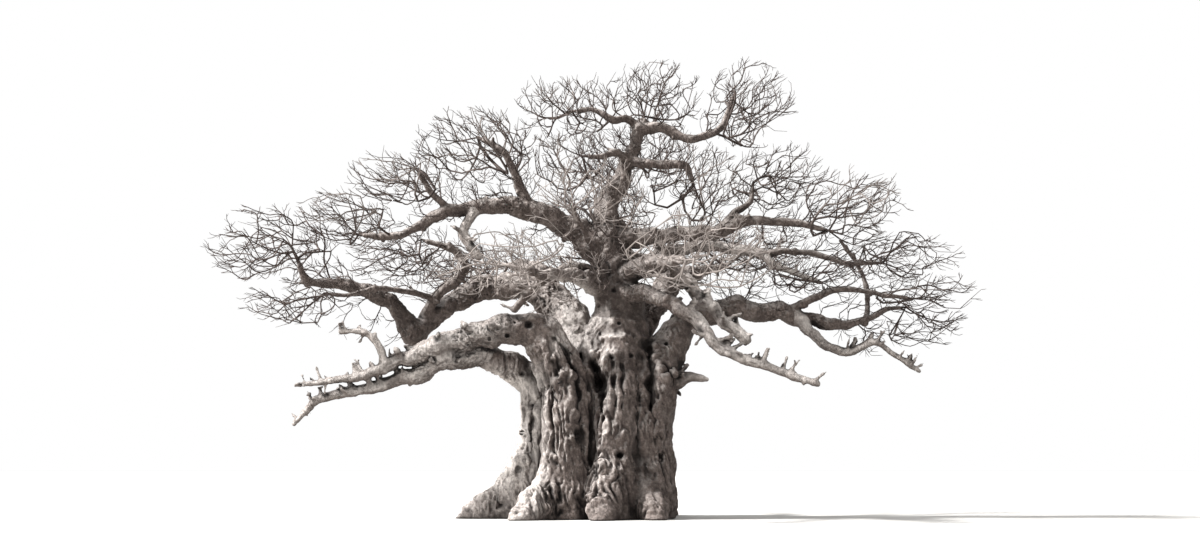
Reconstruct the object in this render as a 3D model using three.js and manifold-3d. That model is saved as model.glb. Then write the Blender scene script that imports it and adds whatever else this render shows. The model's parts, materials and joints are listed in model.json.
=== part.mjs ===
// A leafless African baobab, rooted in level ground: a trunk of fused stems, its boughs, and masses of bare
// twigs.
// Millimetres, +Z up. The front of the tree faces -Y. The origin is at the middle of the flat cut under the
// trunk.
import * as THREE from "three";
import { mergeVertices } from "three/addons/utils/BufferGeometryUtils.js";
import Module from "manifold-3d";

const wasm = await Module();
wasm.setup();

// Driving dimensions. Every drawn place below is at the size of a tree of DRAWN_HEIGHT.
const TREE_HEIGHT = 18000;
const DRAWN_HEIGHT = 18000;
const SCALE = TREE_HEIGHT / DRAWN_HEIGHT;
const GAP = 0.4; // clear space between a limb and what it is cut clear of
const END_GAP = 0.6; // clear space between flat ends that meet

// Limbs are drawn on the front elevation as someone sees it who stands this far in front, with eyes this
// high.
const EYE = new THREE.Vector3(160, -60000, 1800);

// The place of a point of the front elevation that lies further back or forward than the trunk's axis.
function fromFront([across, up, depth]) {
  const spread = (depth - EYE.y) / -EYE.y;
  return new THREE.Vector3(
    EYE.x + (across - EYE.x) * spread,
    depth,
    EYE.z + (up - EYE.z) * spread,
  ).multiplyScalar(SCALE);
}

// Solids

function solidOf(geometry) {
  geometry.deleteAttribute("normal");
  geometry.deleteAttribute("uv");
  const merged = mergeVertices(geometry, 1e-3);
  return new wasm.Manifold(
    new wasm.Mesh({
      numProp: 3,
      vertProperties: merged.attributes.position.array,
      triVerts: new Uint32Array(merged.index.array),
    }),
  );
}

// A round limb along a line of points, with a radius at each: a cylinder whose rings are carried along the
// line.
// Its skin and both its ends can stand further out by grow.
function limbSolid(points, radii, sides, grow = 0) {
  const spans = points.length - 1;
  const geometry = new THREE.CylinderGeometry(1, 1, 1, sides, spans);
  const tangents = points.map((_, i) =>
    new THREE.Vector3()
      .subVectors(points[Math.min(i + 1, spans)], points[Math.max(i - 1, 0)])
      .normalize(),
  );
  const start = Math.abs(tangents[0].z) > 0.9 ? new THREE.Vector3(1, 0, 0) : new THREE.Vector3(0, 0, 1);
  const side = new THREE.Vector3().crossVectors(tangents[0], start).normalize();
  const frames = tangents.map((tangent, i) => {
    if (i > 0) {
      const turn = new THREE.Quaternion().setFromUnitVectors(tangents[i - 1], tangent);
      side.applyQuaternion(turn);
    }
    return [side.clone(), new THREE.Vector3().crossVectors(tangent, side).normalize()];
  });
  const position = geometry.attributes.position;
  for (let v = 0; v < position.count; v++) {
    const ring = Math.round((position.getY(v) + 0.5) * spans);
    const [first, second] = frames[ring];
    const beyond = ring === 0 ? -grow : ring === spans ? grow : 0;
    const at = points[ring]
      .clone()
      .addScaledVector(tangents[ring], beyond)
      .addScaledVector(first, position.getX(v) * (radii[ring] + grow))
      .addScaledVector(second, -position.getZ(v) * (radii[ring] + grow));
    position.setXYZ(v, at.x, at.y, at.z);
  }
  return solidOf(geometry);
}

// The largest of the bodies that a cut leaves.
function largest(solid) {
  const bodies = solid.decompose();
  return bodies.reduce((best, body) => (body.volume() > best.volume() ? body : best));
}

// The points of a smooth line through drawn points, about one every spacing.
function smoothLine(drawn, spacing) {
  const curve = new THREE.CatmullRomCurve3(drawn, false, "centripetal");
  const spans = drawn.length - 1;
  const shares = [0];
  for (let i = 0; i < spans; i++) {
    const steps = Math.max(1, Math.round(drawn[i].distanceTo(drawn[i + 1]) / spacing));
    for (let s = 1; s <= steps; s++) shares.push((i + s / steps) / spans);
  }
  return { points: shares.map((share) => curve.getPoint(share)), shares };
}

// Trunk: stems that have grown together, each a list of [across, depth, height, radius] from the ground up.
// The first is the core. A bough that carries a stem on starts on that stem's flat end.
const STEMS = {
  core: [
    [500, 300, -300, 2350],
    [500, 300, 900, 2050],
    [550, 300, 2500, 1850],
    [600, 250, 4300, 1800],
    [700, 200, 5900, 1560],
    [850, 200, 7000, 1250],
  ],
  front_left: [
    [-1150, -1350, -300, 1250],
    [-1100, -1250, 1200, 1060],
    [-1050, -1150, 3000, 960],
    [-1150, -1050, 4700, 920],
    [-1500, -950, 5900, 860],
    [-2000, -1000, 6850, 740],
  ],
  left_leg: [
    [-2550, -100, -300, 1150],
    [-2500, 0, 700, 980],
    [-2480, 100, 1600, 800],
    [-2400, 150, 2900, 640],
    [-2300, 200, 4100, 560],
    [-2500, 250, 5000, 540],
    [-3150, 150, 5800, 540],
    [-4100, -350, 6150, 450],
  ],
  right: [
    [1850, -600, -300, 1250],
    [1880, -600, 1200, 1080],
    [1900, -600, 2800, 960],
    [2050, -500, 4200, 980],
    [2300, -250, 5500, 900],
    [2700, 50, 6500, 740],
    [3250, 350, 7250, 600],
  ],
  front_fold: [
    [650, -1650, -300, 980],
    [650, -1500, 1400, 860],
    [700, -1350, 3200, 780],
    [800, -1150, 5000, 720],
    [900, -850, 6300, 640],
  ],
  rear_left: [
    [-1500, 1500, -300, 1350],
    [-1300, 1350, 1400, 1150],
    [-1150, 1250, 3200, 1050],
    [-950, 1250, 5000, 1000],
    [-800, 1400, 6500, 820],
  ],
  rear_right: [
    [1500, 1900, -300, 1350],
    [1450, 1700, 1400, 1180],
    [1400, 1500, 3200, 1080],
    [1400, 1400, 5000, 980],
    [1500, 1400, 6400, 760],
  ],
};

// Roots that flare from the foot of the trunk, drawn in the same way from the trunk down and out.
const ROOTS = {
  great_left_root: [
    [-2400, 0, 2200, 560], [-3050, -80, 1250, 640], [-3850, -150, 500, 640], [-4600, -200, 0, 560],
    [-5300, -250, -400, 420],
  ],
  front_left_root: [[-1500, -1500, 1500, 620], [-2250, -2350, 450, 560], [-2950, -3100, -300, 450]],
  front_root: [[400, -1900, 1300, 600], [300, -2700, 350, 520], [150, -3400, -300, 420]],
  front_right_root: [[1900, -1200, 1400, 620], [2100, -2050, 400, 540], [2300, -2800, -300, 420]],
  right_root: [[2100, 300, 1100, 640], [2350, 500, 300, 640], [2550, 650, -300, 600]],
  rear_right_root: [[1900, 2000, 1600, 700], [2500, 2900, 500, 600], [3050, 3650, -300, 450]],
  rear_root: [[200, 1900, 1500, 700], [150, 3200, 400, 600], [100, 4100, -300, 420]],
  rear_left_root: [[-1700, 1700, 1600, 700], [-2450, 2700, 500, 600], [-3100, 3450, -300, 450]],
};
const STEM_SIDES = 12;
const ROOT_SIDES = 8;
const STEM_SPACING = 1700;
const GROUND_BLOCK = 20000;

// Folds that stand out on the front of the trunk, and clefts that run up between the stems. Each is drawn
// on the
// front elevation as a list of [across, up, radius] and lies where that line meets the stems.
const FOLDS = {
  ledge: [[150, 6950, 110], [500, 6950, 160], [1100, 7000, 180], [1600, 7050, 170], [2100, 6950, 120]],
  pale_rib: [[-380, 7450, 130], [-200, 6900, 170], [-60, 6200, 120]],
  pale_edge: [
    [-2750, 6400, 110], [-2300, 5600, 150], [-2050, 5000, 150], [-1850, 4200, 140],
    [-1750, 3400, 150], [-1600, 2200, 170], [-1700, 1000, 170],
  ],
  first_hanging: [[480, 6300, 130], [520, 5600, 130], [600, 4800, 110], [560, 4000, 110]],
  second_hanging: [[860, 6300, 130], [860, 5500, 130], [930, 4600, 110], [860, 3400, 130]],
  third_hanging: [
    [1200, 6400, 130], [1230, 5600, 110], [1180, 4500, 130], [1230, 3300, 130], [1150, 2000, 130],
  ],
  right_middle: [
    [1850, 6400, 130], [1800, 5500, 140], [1850, 4600, 140], [1800, 3400, 150], [1900, 1800, 150],
  ],
  right_outer: [[2500, 6300, 110], [2550, 5200, 130], [2500, 4200, 140], [2600, 3000, 130]],
  left_inner: [
    [-1200, 6600, 110], [-980, 5800, 130], [-950, 4800, 130], [-1000, 3600, 130], [-1000, 2200, 150],
  ],
  left_edge: [[-450, 6600, 110], [-400, 5800, 130], [-420, 4900, 110], [-450, 3600, 130], [-400, 2200, 150]],
  leg_outer: [[-2750, 4600, 110], [-2850, 3600, 110], [-2950, 2600, 130], [-3200, 1600, 130]],
  leg_inner: [[-2250, 4300, 110], [-2200, 3200, 110], [-2200, 2200, 130]],
};
const CLEFTS = {
  middle: [
    [-120, 6050, 140], [50, 5700, 230], [180, 5200, 250], [280, 4500, 190], [320, 3900, 140],
    [300, 3100, 90],
  ],
  right: [
    [2080, 6600, 80], [2180, 5800, 100], [2130, 5100, 160], [2170, 4500, 140], [2260, 3800, 110],
    [2320, 3000, 80],
  ],
  left: [[-1600, 7000, 90], [-1200, 6400, 110], [-780, 5500, 130], [-720, 4600, 110], [-700, 3600, 90]],
  leg: [[-2100, 4900, 100], [-2420, 4350, 130], [-2500, 3600, 110], [-2500, 2600, 90]],
};
const FOLD_SIDES = 5;
const FOLD_SUNK = 0.5; // how deep the middle line of a fold or cleft lies under the bark, in its radii
const NEAREST_DEPTH = -5000; // where the search along a line of sight begins and ends
const FURTHEST_DEPTH = 1000;
const PROBE = 20;

function stemLine(drawn) {
  const places = drawn.map(([across, depth, height]) =>
    new THREE.Vector3(across, depth, height).multiplyScalar(SCALE),
  );
  const { points, shares } = smoothLine(places, STEM_SPACING * SCALE);
  const radii = shares.map((share) => {
    const place = share * (drawn.length - 1);
    const below = Math.min(Math.floor(place), drawn.length - 2);
    return THREE.MathUtils.lerp(drawn[below][3], drawn[below + 1][3], place - below) * SCALE;
  });
  return { points, radii };
}

function isInside({ points, radii }, place) {
  const nearest = new THREE.Vector3();
  return points.slice(1).some((end, i) => {
    const stretch = new THREE.Line3(points[i], end);
    const share = stretch.closestPointToPointParameter(place, true);
    const radius = THREE.MathUtils.lerp(radii[i], radii[i + 1], share);
    return stretch.at(share, nearest).distanceTo(place) < radius;
  });
}

// A round limb along a fold or cleft, laid on the front of the stems.
function foldLimb(drawn, stems, grow) {
  const places = drawn.map(([across, up, radius]) => {
    let depth = NEAREST_DEPTH;
    let place = fromFront([across, up, depth]);
    while (depth < FURTHEST_DEPTH && !stems.some((stem) => isInside(stem, place))) {
      depth += PROBE;
      place = fromFront([across, up, depth]);
    }
    return place.setY(place.y + FOLD_SUNK * radius * SCALE);
  });
  return limbSolid(places, drawn.map(([, , radius]) => radius * SCALE), FOLD_SIDES, grow);
}

function trunkSolid(grow) {
  const stems = Object.values(STEMS).map(stemLine);
  const limbs = [
    ...stems.map((line) => limbSolid(line.points, line.radii, STEM_SIDES, grow)),
    ...Object.values(ROOTS)
      .map(stemLine)
      .map((line) => limbSolid(line.points, line.radii, ROOT_SIDES, grow)),
    ...Object.values(FOLDS).map((drawn) => foldLimb(drawn, stems, grow)),
  ];
  const clefts = Object.values(CLEFTS).map((drawn) => foldLimb(drawn, stems, -grow));
  const ground = solidOf(
    new THREE.BoxGeometry(GROUND_BLOCK, GROUND_BLOCK, GROUND_BLOCK).translate(0, 0, -GROUND_BLOCK / 2),
  );
  return [...clefts, ground].reduce(
    (trunk, cut) => trunk.subtract(cut),
    limbs.reduce((trunk, limb) => trunk.add(limb)),
  );
}

// Boughs, in the order in which each is fitted to what carries it. A line is [across, up, depth] on the front
// elevation. It starts inside its carrier, or on the flat end of the stem that it carries on. The radius runs
// from root to tip, bow shapes the taper, and an end that bears no twigs is rounded off.
const BOUGHS = {
  central_leader: {
    on: "core",
    line: [
      [950, 8000, 200], [800, 9100, 100], [650, 10200, 0], [480, 11300, 0], [480, 12100, 0],
      [800, 13000, 0], [1300, 14000, 0], [1620, 15000, 0], [1850, 15700, 0],
    ],
    root: 1120, tip: 210, bow: 1.45,
  },
  low_left_bough: {
    on: "front_left",
    line: [
      [-2800, 7430, -1150], [-3800, 7330, -1250], [-4900, 7050, -1350], [-5900, 6850, -1450],
      [-7200, 6350, -1650], [-8400, 5850, -1800], [-9600, 5450, -1850], [-11000, 5250, -1850], [-11800, 5150, -1850],
    ],
    root: 700, tip: 55, bow: 1.15, bare: true,
  },
  leg_bough: {
    on: "left_leg",
    line: [
      [-5050, 6250, -900], [-6100, 6050, -1200], [-7100, 5550, -1400],
      [-8300, 5200, -1450], [-9700, 4850, -1450], [-10900, 4600, -1450], [-11800, 3650, -1350],
    ],
    root: 430, tip: 95, bare: true,
  },
  hook_bough: {
    line: [
      [-8350, 5800, -1800], [-8450, 6500, -1950], [-8900, 7100, -2050], [-9500, 7300, -2100],
      [-10050, 7250, -2100],
    ],
    root: 170, tip: 70, bare: true,
  },
  broken_stub: {
    line: [[2400, 5150, -300], [3100, 5250, -500], [3800, 5450, -600], [4350, 5380, -600]],
    root: 380, tip: 90, bow: 0.7, bare: true,
  },
  right_stem_bough: {
    on: "right",
    line: [
      [4500, 8050, 600], [5800, 8200, 800], [7200, 8000, 900],
      [8400, 7750, 900], [9700, 7550, 900], [10600, 7700, 900], [11300, 8100, 900], [12000, 8200, 900],
    ],
    root: 580, tip: 80, bow: 1.1,
  },
  back_left_bough: {
    on: "rear_left",
    line: [
      [-1300, 8100, 1900], [-2500, 8950, 2400], [-4100, 9100, 2800], [-5500, 8500, 2800],
      [-6500, 7700, 2400], [-7350, 7150, 2000],
    ],
    root: 780, tip: 280, bare: true,
  },
  far_left_bough: {
    line: [
      [-7150, 7250, 2050], [-7550, 7700, 1900], [-8100, 8450, 1700], [-9000, 8850, 1500],
      [-10200, 9150, 1300], [-11500, 9300, 1100], [-11750, 9900, 1000],
    ],
    root: 400, tip: 110, bow: 0.9,
  },
  left_mid_riser: {
    line: [
      [-6700, 7700, 2400], [-6450, 8600, 1900], [-5600, 9250, 1700], [-5150, 9800, 1600],
      [-5600, 10450, 1500], [-6700, 10850, 1400],
    ],
    root: 240, tip: 100,
  },
  cross_bough: {
    line: [
      [-6400, 8600, 1900], [-7300, 8800, 1100], [-8200, 9000, 700], [-9100, 8900, 600], [-9900, 8700, 600],
      [-10500, 8750, 600],
    ],
    root: 130, tip: 75,
  },
  upper_left_bough: {
    line: [
      [300, 10400, 0], [-1200, 11500, -200], [-2500, 12100, -400], [-4100, 12300, -500], [-5500, 12100, -500],
      [-6600, 11800, -500], [-7500, 11200, -500], [-8600, 11050, -500], [-9200, 11100, -500],
    ],
    root: 520, tip: 90,
  },
  upper_left_riser: {
    line: [
      [-2700, 12100, -400], [-3050, 13200, -500], [-3400, 13950, -600], [-3900, 14650, -700],
      [-4500, 14950, -700],
    ],
    root: 220, tip: 90,
  },
  shoulder_riser: {
    line: [[-5700, 12050, -500], [-6350, 12600, -700], [-6800, 13200, -900], [-7050, 13600, -1000]],
    root: 150, tip: 85,
  },
  hanging_stub: {
    line: [[-4750, 12250, -500], [-5200, 11500, -700], [-5150, 10900, -800], [-4650, 10250, -900]],
    root: 210, tip: 150, bare: true,
  },
  rear_left_bough: {
    line: [
      [-900, 7500, 1600], [-1600, 8800, 3000], [-2300, 9700, 4300], [-3000, 9900, 5900],
      [-3400, 9900, 7200],
    ],
    root: 560, tip: 130,
  },
  front_arch_bough: {
    line: [
      [300, 9400, -500], [-500, 9800, -1500], [-1500, 9650, -2000], [-2400, 9050, -2200],
      [-3000, 8400, -2000], [-3200, 8150, -1800],
    ],
    root: 190, tip: 140, bare: true,
  },
  front_riser: {
    line: [[350, 9700, -600], [-100, 10600, -1900], [-550, 11400, -2600], [-900, 12100, -3000]],
    root: 150, tip: 80,
  },
  right_upper_bough: {
    line: [
      [400, 10900, 0], [1800, 11050, -200], [3400, 11100, -300], [4900, 11350, -400], [6000, 11650, -500],
      [7600, 11650, -500], [9000, 11350, -500],
    ],
    root: 400, tip: 90,
  },
  right_riser: {
    line: [[4900, 11300, -400], [5500, 12000, -200], [6150, 12450, 0], [6250, 13000, 100]],
    root: 170, tip: 85,
  },
  knobbly_bough: {
    line: [
      [800, 9900, 400], [2600, 10300, 1500], [4200, 10700, 1900], [5400, 10600, 1700], [6600, 10300, 1400],
      [7100, 9800, 1200], [8000, 9550, 1000], [8700, 9300, 900],
    ],
    root: 360, tip: 90,
  },
  right_mid_bough: {
    line: [
      [6500, 10350, 1400], [7500, 10450, 1300], [8700, 10350, 1200], [9900, 10000, 1100],
      [11100, 10000, 1000],
    ],
    root: 150, tip: 85,
  },
  right_far_bough: {
    line: [
      [7300, 8000, 900], [8300, 8450, 700], [9200, 8850, 600], [10400, 8900, 500], [11500, 8700, 400],
      [12300, 8600, 300],
    ],
    root: 150, tip: 80,
  },
  low_right_bough: {
    line: [
      [7900, 7850, 900], [8500, 7300, 500], [9100, 6750, 300], [9800, 6400, 200], [10500, 6700, 100],
      [11000, 6800, 100], [11900, 6250, 0], [12700, 5700, 0],
    ],
    root: 240, tip: 70, bare: true,
  },
  link_riser: {
    line: [
      [10600, 7600, 900], [10750, 8500, 1400], [10600, 9400, 1600], [10200, 10200, 1700],
      [9700, 10900, 1700],
    ],
    root: 120, tip: 60, bare: true,
  },
  white_arch_bough: {
    line: [
      [1200, 8900, -500], [2400, 8650, -1600], [3300, 8150, -2200], [4100, 7450, -2700],
      [4700, 6800, -3000], [5600, 6300, -3200], [6700, 5950, -3400], [7700, 5550, -3500],
      [8700, 5200, -3600],
    ],
    root: 330, tip: 110, bare: true,
  },
  right_arch_bough: {
    line: [
      [1000, 9400, -300], [2000, 9800, -900], [2900, 9700, -1100], [3700, 9100, -1200], [4400, 8300, -1300],
      [5200, 7600, -1500], [5900, 6950, -1600],
    ],
    root: 330, tip: 200, bare: true,
  },
  top_right_bough: {
    line: [
      [1700, 15400, 0], [2700, 15450, -100], [3500, 15050, -100], [4000, 15000, -100], [4700, 15250, 0],
      [5100, 15600, 0], [5300, 16200, 0], [5500, 16700, 0],
    ],
    root: 230, tip: 85,
  },
  top_left_bough: {
    line: [
      [1700, 15500, 0], [1200, 15850, -200], [700, 15780, -300], [-100, 16200, -300], [-700, 16150, -300],
    ],
    root: 170, tip: 85,
  },
  mid_right_bough: {
    line: [
      [1300, 14150, 0], [2200, 14000, -300], [3000, 13950, -400], [3600, 13900, -400], [3800, 13400, -400],
    ],
    root: 220, tip: 110,
  },
  mid_left_bough: {
    line: [[1300, 14000, 0], [850, 14450, -500], [350, 14300, -800], [-300, 14300, -1000]],
    root: 180, tip: 80,
  },
  front_left_bough: {
    line: [[300, 9000, -400], [-700, 9400, -2600], [-1800, 9500, -4800], [-2700, 9700, -6800]],
    root: 360, tip: 120,
  },
  front_right_bough: {
    line: [[1100, 9500, -300], [2100, 10000, -2500], [2900, 10050, -4700], [3500, 10100, -6800]],
    root: 340, tip: 120,
  },
  rear_right_bough: {
    on: "rear_right",
    line: [[2500, 8750, 2600], [3800, 9500, 4300], [5000, 9800, 6200]],
    root: 700, tip: 130,
  },
  rear_bough: {
    line: [[700, 8600, 600], [600, 9900, 2800], [400, 10900, 5000], [300, 11500, 7000]],
    root: 420, tip: 120,
  },
  high_rear_bough: {
    line: [[500, 12200, 0], [900, 13300, 1800], [1300, 13900, 3400]],
    root: 240, tip: 100,
  },
};
const BOUGH_SPACING = 1050;
const THICK_BOUGH = 300; // a bough with a thicker root than this has more sides
const [THICK_SIDES, THIN_SIDES] = [9, 6];
const SEAT = 350; // how far a bough runs straight on from the stem that it sits on
const COLLAR = 0.3; // how much wider a bough is at the root where it leaves another's side
const COLLAR_LENGTH = 3; // in root radii
const ROUNDING = [[0.5, 0.8], [0.85, 0.4]]; // the rings of a rounded end, in tip radii: how far on, how wide

function boughLine({ on, line, root, tip, bow = 1, bare = false }) {
  const drawn = line.map(fromFront);
  if (on) {
    const stem = stemLine(STEMS[on]).points.slice(-2);
    const heading = stem[1].clone().sub(stem[0]).normalize();
    drawn.unshift(stem[1].clone().addScaledVector(heading, SEAT * SCALE));
    drawn.unshift(stem[1].clone().addScaledVector(heading, END_GAP));
  }
  const { points } = smoothLine(drawn, BOUGH_SPACING * SCALE);
  const along = [0];
  for (let i = 1; i < points.length; i++) along.push(along[i - 1] + points[i].distanceTo(points[i - 1]));
  const length = along[along.length - 1];
  const radii = along.map((distance) => {
    const taper = tip + (root - tip) * (1 - distance / length) ** bow;
    const flare = on ? 0 : COLLAR * Math.max(0, 1 - distance / (COLLAR_LENGTH * root * SCALE)) ** 2;
    return taper * (1 + flare) * SCALE;
  });
  if (bare) {
    const end = points[points.length - 1];
    const heading = end.clone().sub(points[points.length - 2]).normalize();
    for (const [onward, width] of ROUNDING) {
      points.push(end.clone().addScaledVector(heading, onward * tip * SCALE));
      radii.push(width * tip * SCALE);
    }
  }
  return { points, radii };
}

// Twigs: each mass keeps to its own space, an egg with a flatter underside, and grows from the tip of one
// bough.
// A space is the middle on the front elevation [across, up, depth] and its half sizes [wide, deep, above,
// below].
const MASSES = {
  far_left_twigs: { bough: "far_left_bough", middle: [-12650, 10200, 800], half: [2900, 3400, 2200, 1300] },
  far_left_low_twigs: { bough: "cross_bough", middle: [-11900, 8450, -600], half: [2300, 2700, 600, 1100] },
  left_middle_twigs: { bough: "left_mid_riser", middle: [-7900, 10150, 1900], half: [2300, 3100, 1000, 1000] },
  left_tier_twigs: { bough: "upper_left_bough", middle: [-10000, 11700, -1500], half: [2000, 3300, 1300, 1000] },
  left_shoulder_twigs: { bough: "shoulder_riser", middle: [-7600, 13300, -1500], half: [2300, 3500, 1300, 1000] },
  upper_left_twigs: { bough: "upper_left_riser", middle: [-4700, 14700, -800], half: [2700, 3600, 1400, 1500] },
  top_left_twigs: { bough: "top_left_bough", middle: [-1200, 16200, -600], half: [2100, 3300, 1350, 1300] },
  top_centre_twigs: { bough: "central_leader", middle: [2300, 16600, 300], half: [2000, 3300, 1450, 1200] },
  top_right_twigs: { bough: "top_right_bough", middle: [6200, 16300, 0], half: [1850, 3200, 1800, 1800] },
  right_inner_high_twigs: { bough: "mid_right_bough", middle: [4000, 13000, -1500], half: [1900, 3000, 1900, 1300] },
  right_upper_twigs: { bough: "right_riser", middle: [7200, 13400, 900], half: [2200, 3500, 1400, 1200] },
  right_shoulder_twigs: { bough: "right_upper_bough", middle: [10200, 12100, -1300], half: [2200, 3500, 1700, 1300] },
  far_right_twigs: { bough: "right_mid_bough", middle: [12400, 10200, 1300], half: [2300, 3300, 1000, 900] },
  far_right_low_twigs: { bough: "right_far_bough", middle: [13200, 8700, -500], half: [2100, 2900, 900, 700] },
  right_end_twigs: { bough: "right_stem_bough", middle: [12900, 7700, 1500], half: [1700, 2400, 800, 1200] },
  right_inner_twigs: { bough: "knobbly_bough", middle: [8700, 9500, -600], half: [2200, 3000, 900, 800] },
  front_centre_twigs: { bough: "front_riser", middle: [-200, 12300, -4600], half: [2400, 3000, 1800, 1600] },
  front_left_twigs: { bough: "front_left_bough", middle: [-3800, 9900, -7900], half: [2700, 3100, 1400, 1200] },
  front_right_twigs: { bough: "front_right_bough", middle: [4200, 10300, -7900], half: [2900, 3200, 1600, 1300] },
  rear_left_twigs: { bough: "rear_left_bough", middle: [-5000, 9700, 8800], half: [3000, 3100, 1400, 1200] },
  rear_right_twigs: { bough: "rear_right_bough", middle: [6200, 10100, 8200], half: [3000, 3100, 1700, 1200] },
  rear_centre_twigs: { bough: "rear_bough", middle: [200, 11900, 9200], half: [2900, 3000, 1900, 1700] },
  high_rear_twigs: { bough: "high_rear_bough", middle: [1600, 14400, 5000], half: [2900, 2700, 1800, 1500] },
  upper_inner_twigs: { bough: "mid_left_bough", middle: [-1000, 14200, -2000], half: [1900, 2700, 1100, 1200] },
};
const GOALS = 10; // twigs aimed for in each mass
const CANDIDATES = 12; // places tried for each, of which the one furthest from the others is kept
const SHELL = [0.5, 0.97]; // a place further out than the first share is carried out to the second
const TWIG_STEP = 560;
const TURN_COST = 0.6; // how much a twig would rather leave where another already heads its way
const FOLLOW = 0.8; // how closely it leaves along that other
const UPWARD = 0.45; // how much it lifts at its end
const WANDER = 0.7; // how much it strays
const HEART = new THREE.Vector3(500, 0, 8000).multiplyScalar(SCALE); // the crown reaches away from this place
const OUTWARD = 0.9; // how much a twig turns away from the heart at its end
const DETOUR_COST = 0.7; // how much it would rather leave from a place that lies inward of its goal
const TWIG_TIP = 26;
const TWIG_THICKENING = 2.3; // a twig's radius to this power is the sum of those that it carries
const TWIG_STRAIGHT = 80; // a bend smaller than this is left out
const CLEARANCE = 110; // between twigs and every bough
const BORDER = 0.07; // share of a space that is kept free along the next mass
const STUB = 260;

// Mulberry32: the same seed always gives the same tree.
function seeded(seed) {
  let state = seed >>> 0;
  return () => {
    state = (state + 0x6d2b79f5) >>> 0;
    let mixed = Math.imul(state ^ (state >>> 15), state | 1);
    mixed ^= mixed + Math.imul(mixed ^ (mixed >>> 7), mixed | 61);
    return ((mixed ^ (mixed >>> 14)) >>> 0) / 4294967296;
  };
}

const spaces = Object.values(MASSES).map(({ middle, half }) => ({
  middle: fromFront(middle),
  half: half.map((size) => size * SCALE),
}));

// How far out a point lies in a space: 0 at its middle and 1 at its edge.
function shareOut(space, point) {
  const [wide, deep, above, below] = space.half;
  const dz = point.z - space.middle.z;
  return Math.hypot(
    (point.x - space.middle.x) / wide,
    (point.y - space.middle.y) / deep,
    dz / (dz > 0 ? above : below),
  );
}

function inOwnSpace(space, point) {
  const own = shareOut(space, point);
  return own < 1 && spaces.every((other) => other === space || shareOut(other, point) > own + BORDER);
}

const nearest = new THREE.Vector3();
function clearOfBoughs(lines, point) {
  return lines.every(({ points, radii }) =>
    points.every((end, i) => {
      if (i === 0) return true;
      new THREE.Line3(points[i - 1], end).closestPointToPoint(point, true, nearest);
      return nearest.distanceTo(point) > Math.max(radii[i - 1], radii[i]) + CLEARANCE * SCALE;
    }),
  );
}

function placesIn(space, count, allowed, random) {
  const places = [];
  while (places.length < count) {
    let best = null;
    let bestGap = -1;
    for (let tried = 0; tried < CANDIDATES; ) {
      const [wide, deep, above, below] = space.half;
      const point = new THREE.Vector3(
        space.middle.x + (2 * random() - 1) * wide,
        space.middle.y + (2 * random() - 1) * deep,
        space.middle.z + THREE.MathUtils.lerp(-below, above, random()),
      );
      const share = shareOut(space, point);
      if (share > SHELL[0]) point.sub(space.middle).multiplyScalar(SHELL[1] / share).add(space.middle);
      if (!allowed(point)) continue;
      tried++;
      const gap = Math.min(Infinity, ...places.map((place) => place.distanceTo(point)));
      if (gap > bestGap) [best, bestGap] = [point, gap];
    }
    places.push(best);
  }
  return places;
}

// Grows a twig to each goal, from the place on an earlier one that is near and already heads its way.
function grow(nodes, goals, allowed, random) {
  const inwardFirst = [...goals].sort((a, b) => a.distanceTo(HEART) - b.distanceTo(HEART));
  for (const goal of inwardFirst) {
    const outward = goal.clone().sub(HEART).normalize();
    let from = 1; // never the root, which lies on the bough's end
    let least = Infinity;
    for (let i = 1; i < nodes.length; i++) {
      const way = goal.clone().sub(nodes[i].at);
      const turn = 1 - way.dot(nodes[i].heading) / way.length();
      const detour = 1 - way.dot(outward) / way.length();
      const cost = way.length() * (1 + TURN_COST * turn + DETOUR_COST * detour);
      if (cost < least) [least, from] = [cost, i];
    }
    const start = nodes[from];
    const length = start.at.distanceTo(goal);
    const way = goal.clone().sub(start.at).normalize();
    const leave = start.heading.clone().multiplyScalar(FOLLOW).add(way).normalize();
    const stray = new THREE.Vector3(random() - 0.5, random() - 0.5, random() - 0.5);
    const arrive = way.clone().addScaledVector(stray, WANDER).addScaledVector(outward, OUTWARD);
    arrive.setZ(arrive.z + UPWARD).normalize();
    const curve = new THREE.CubicBezierCurve3(
      start.at,
      start.at.clone().addScaledVector(leave, length / 3),
      goal.clone().addScaledVector(arrive, -length / 3),
      goal,
    );
    const steps = Math.max(1, Math.round(length / (TWIG_STEP * SCALE)));
    const points = curve.getPoints(2 * steps);
    if (!points.slice(1).every(allowed)) continue;
    for (let s = 1; s <= steps; s++) {
      const heading = points[2 * s].clone().sub(points[2 * s - 1]).normalize();
      nodes.push({ at: points[2 * s], heading, from: s === 1 ? from : nodes.length - 1 });
    }
  }
}

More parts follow.
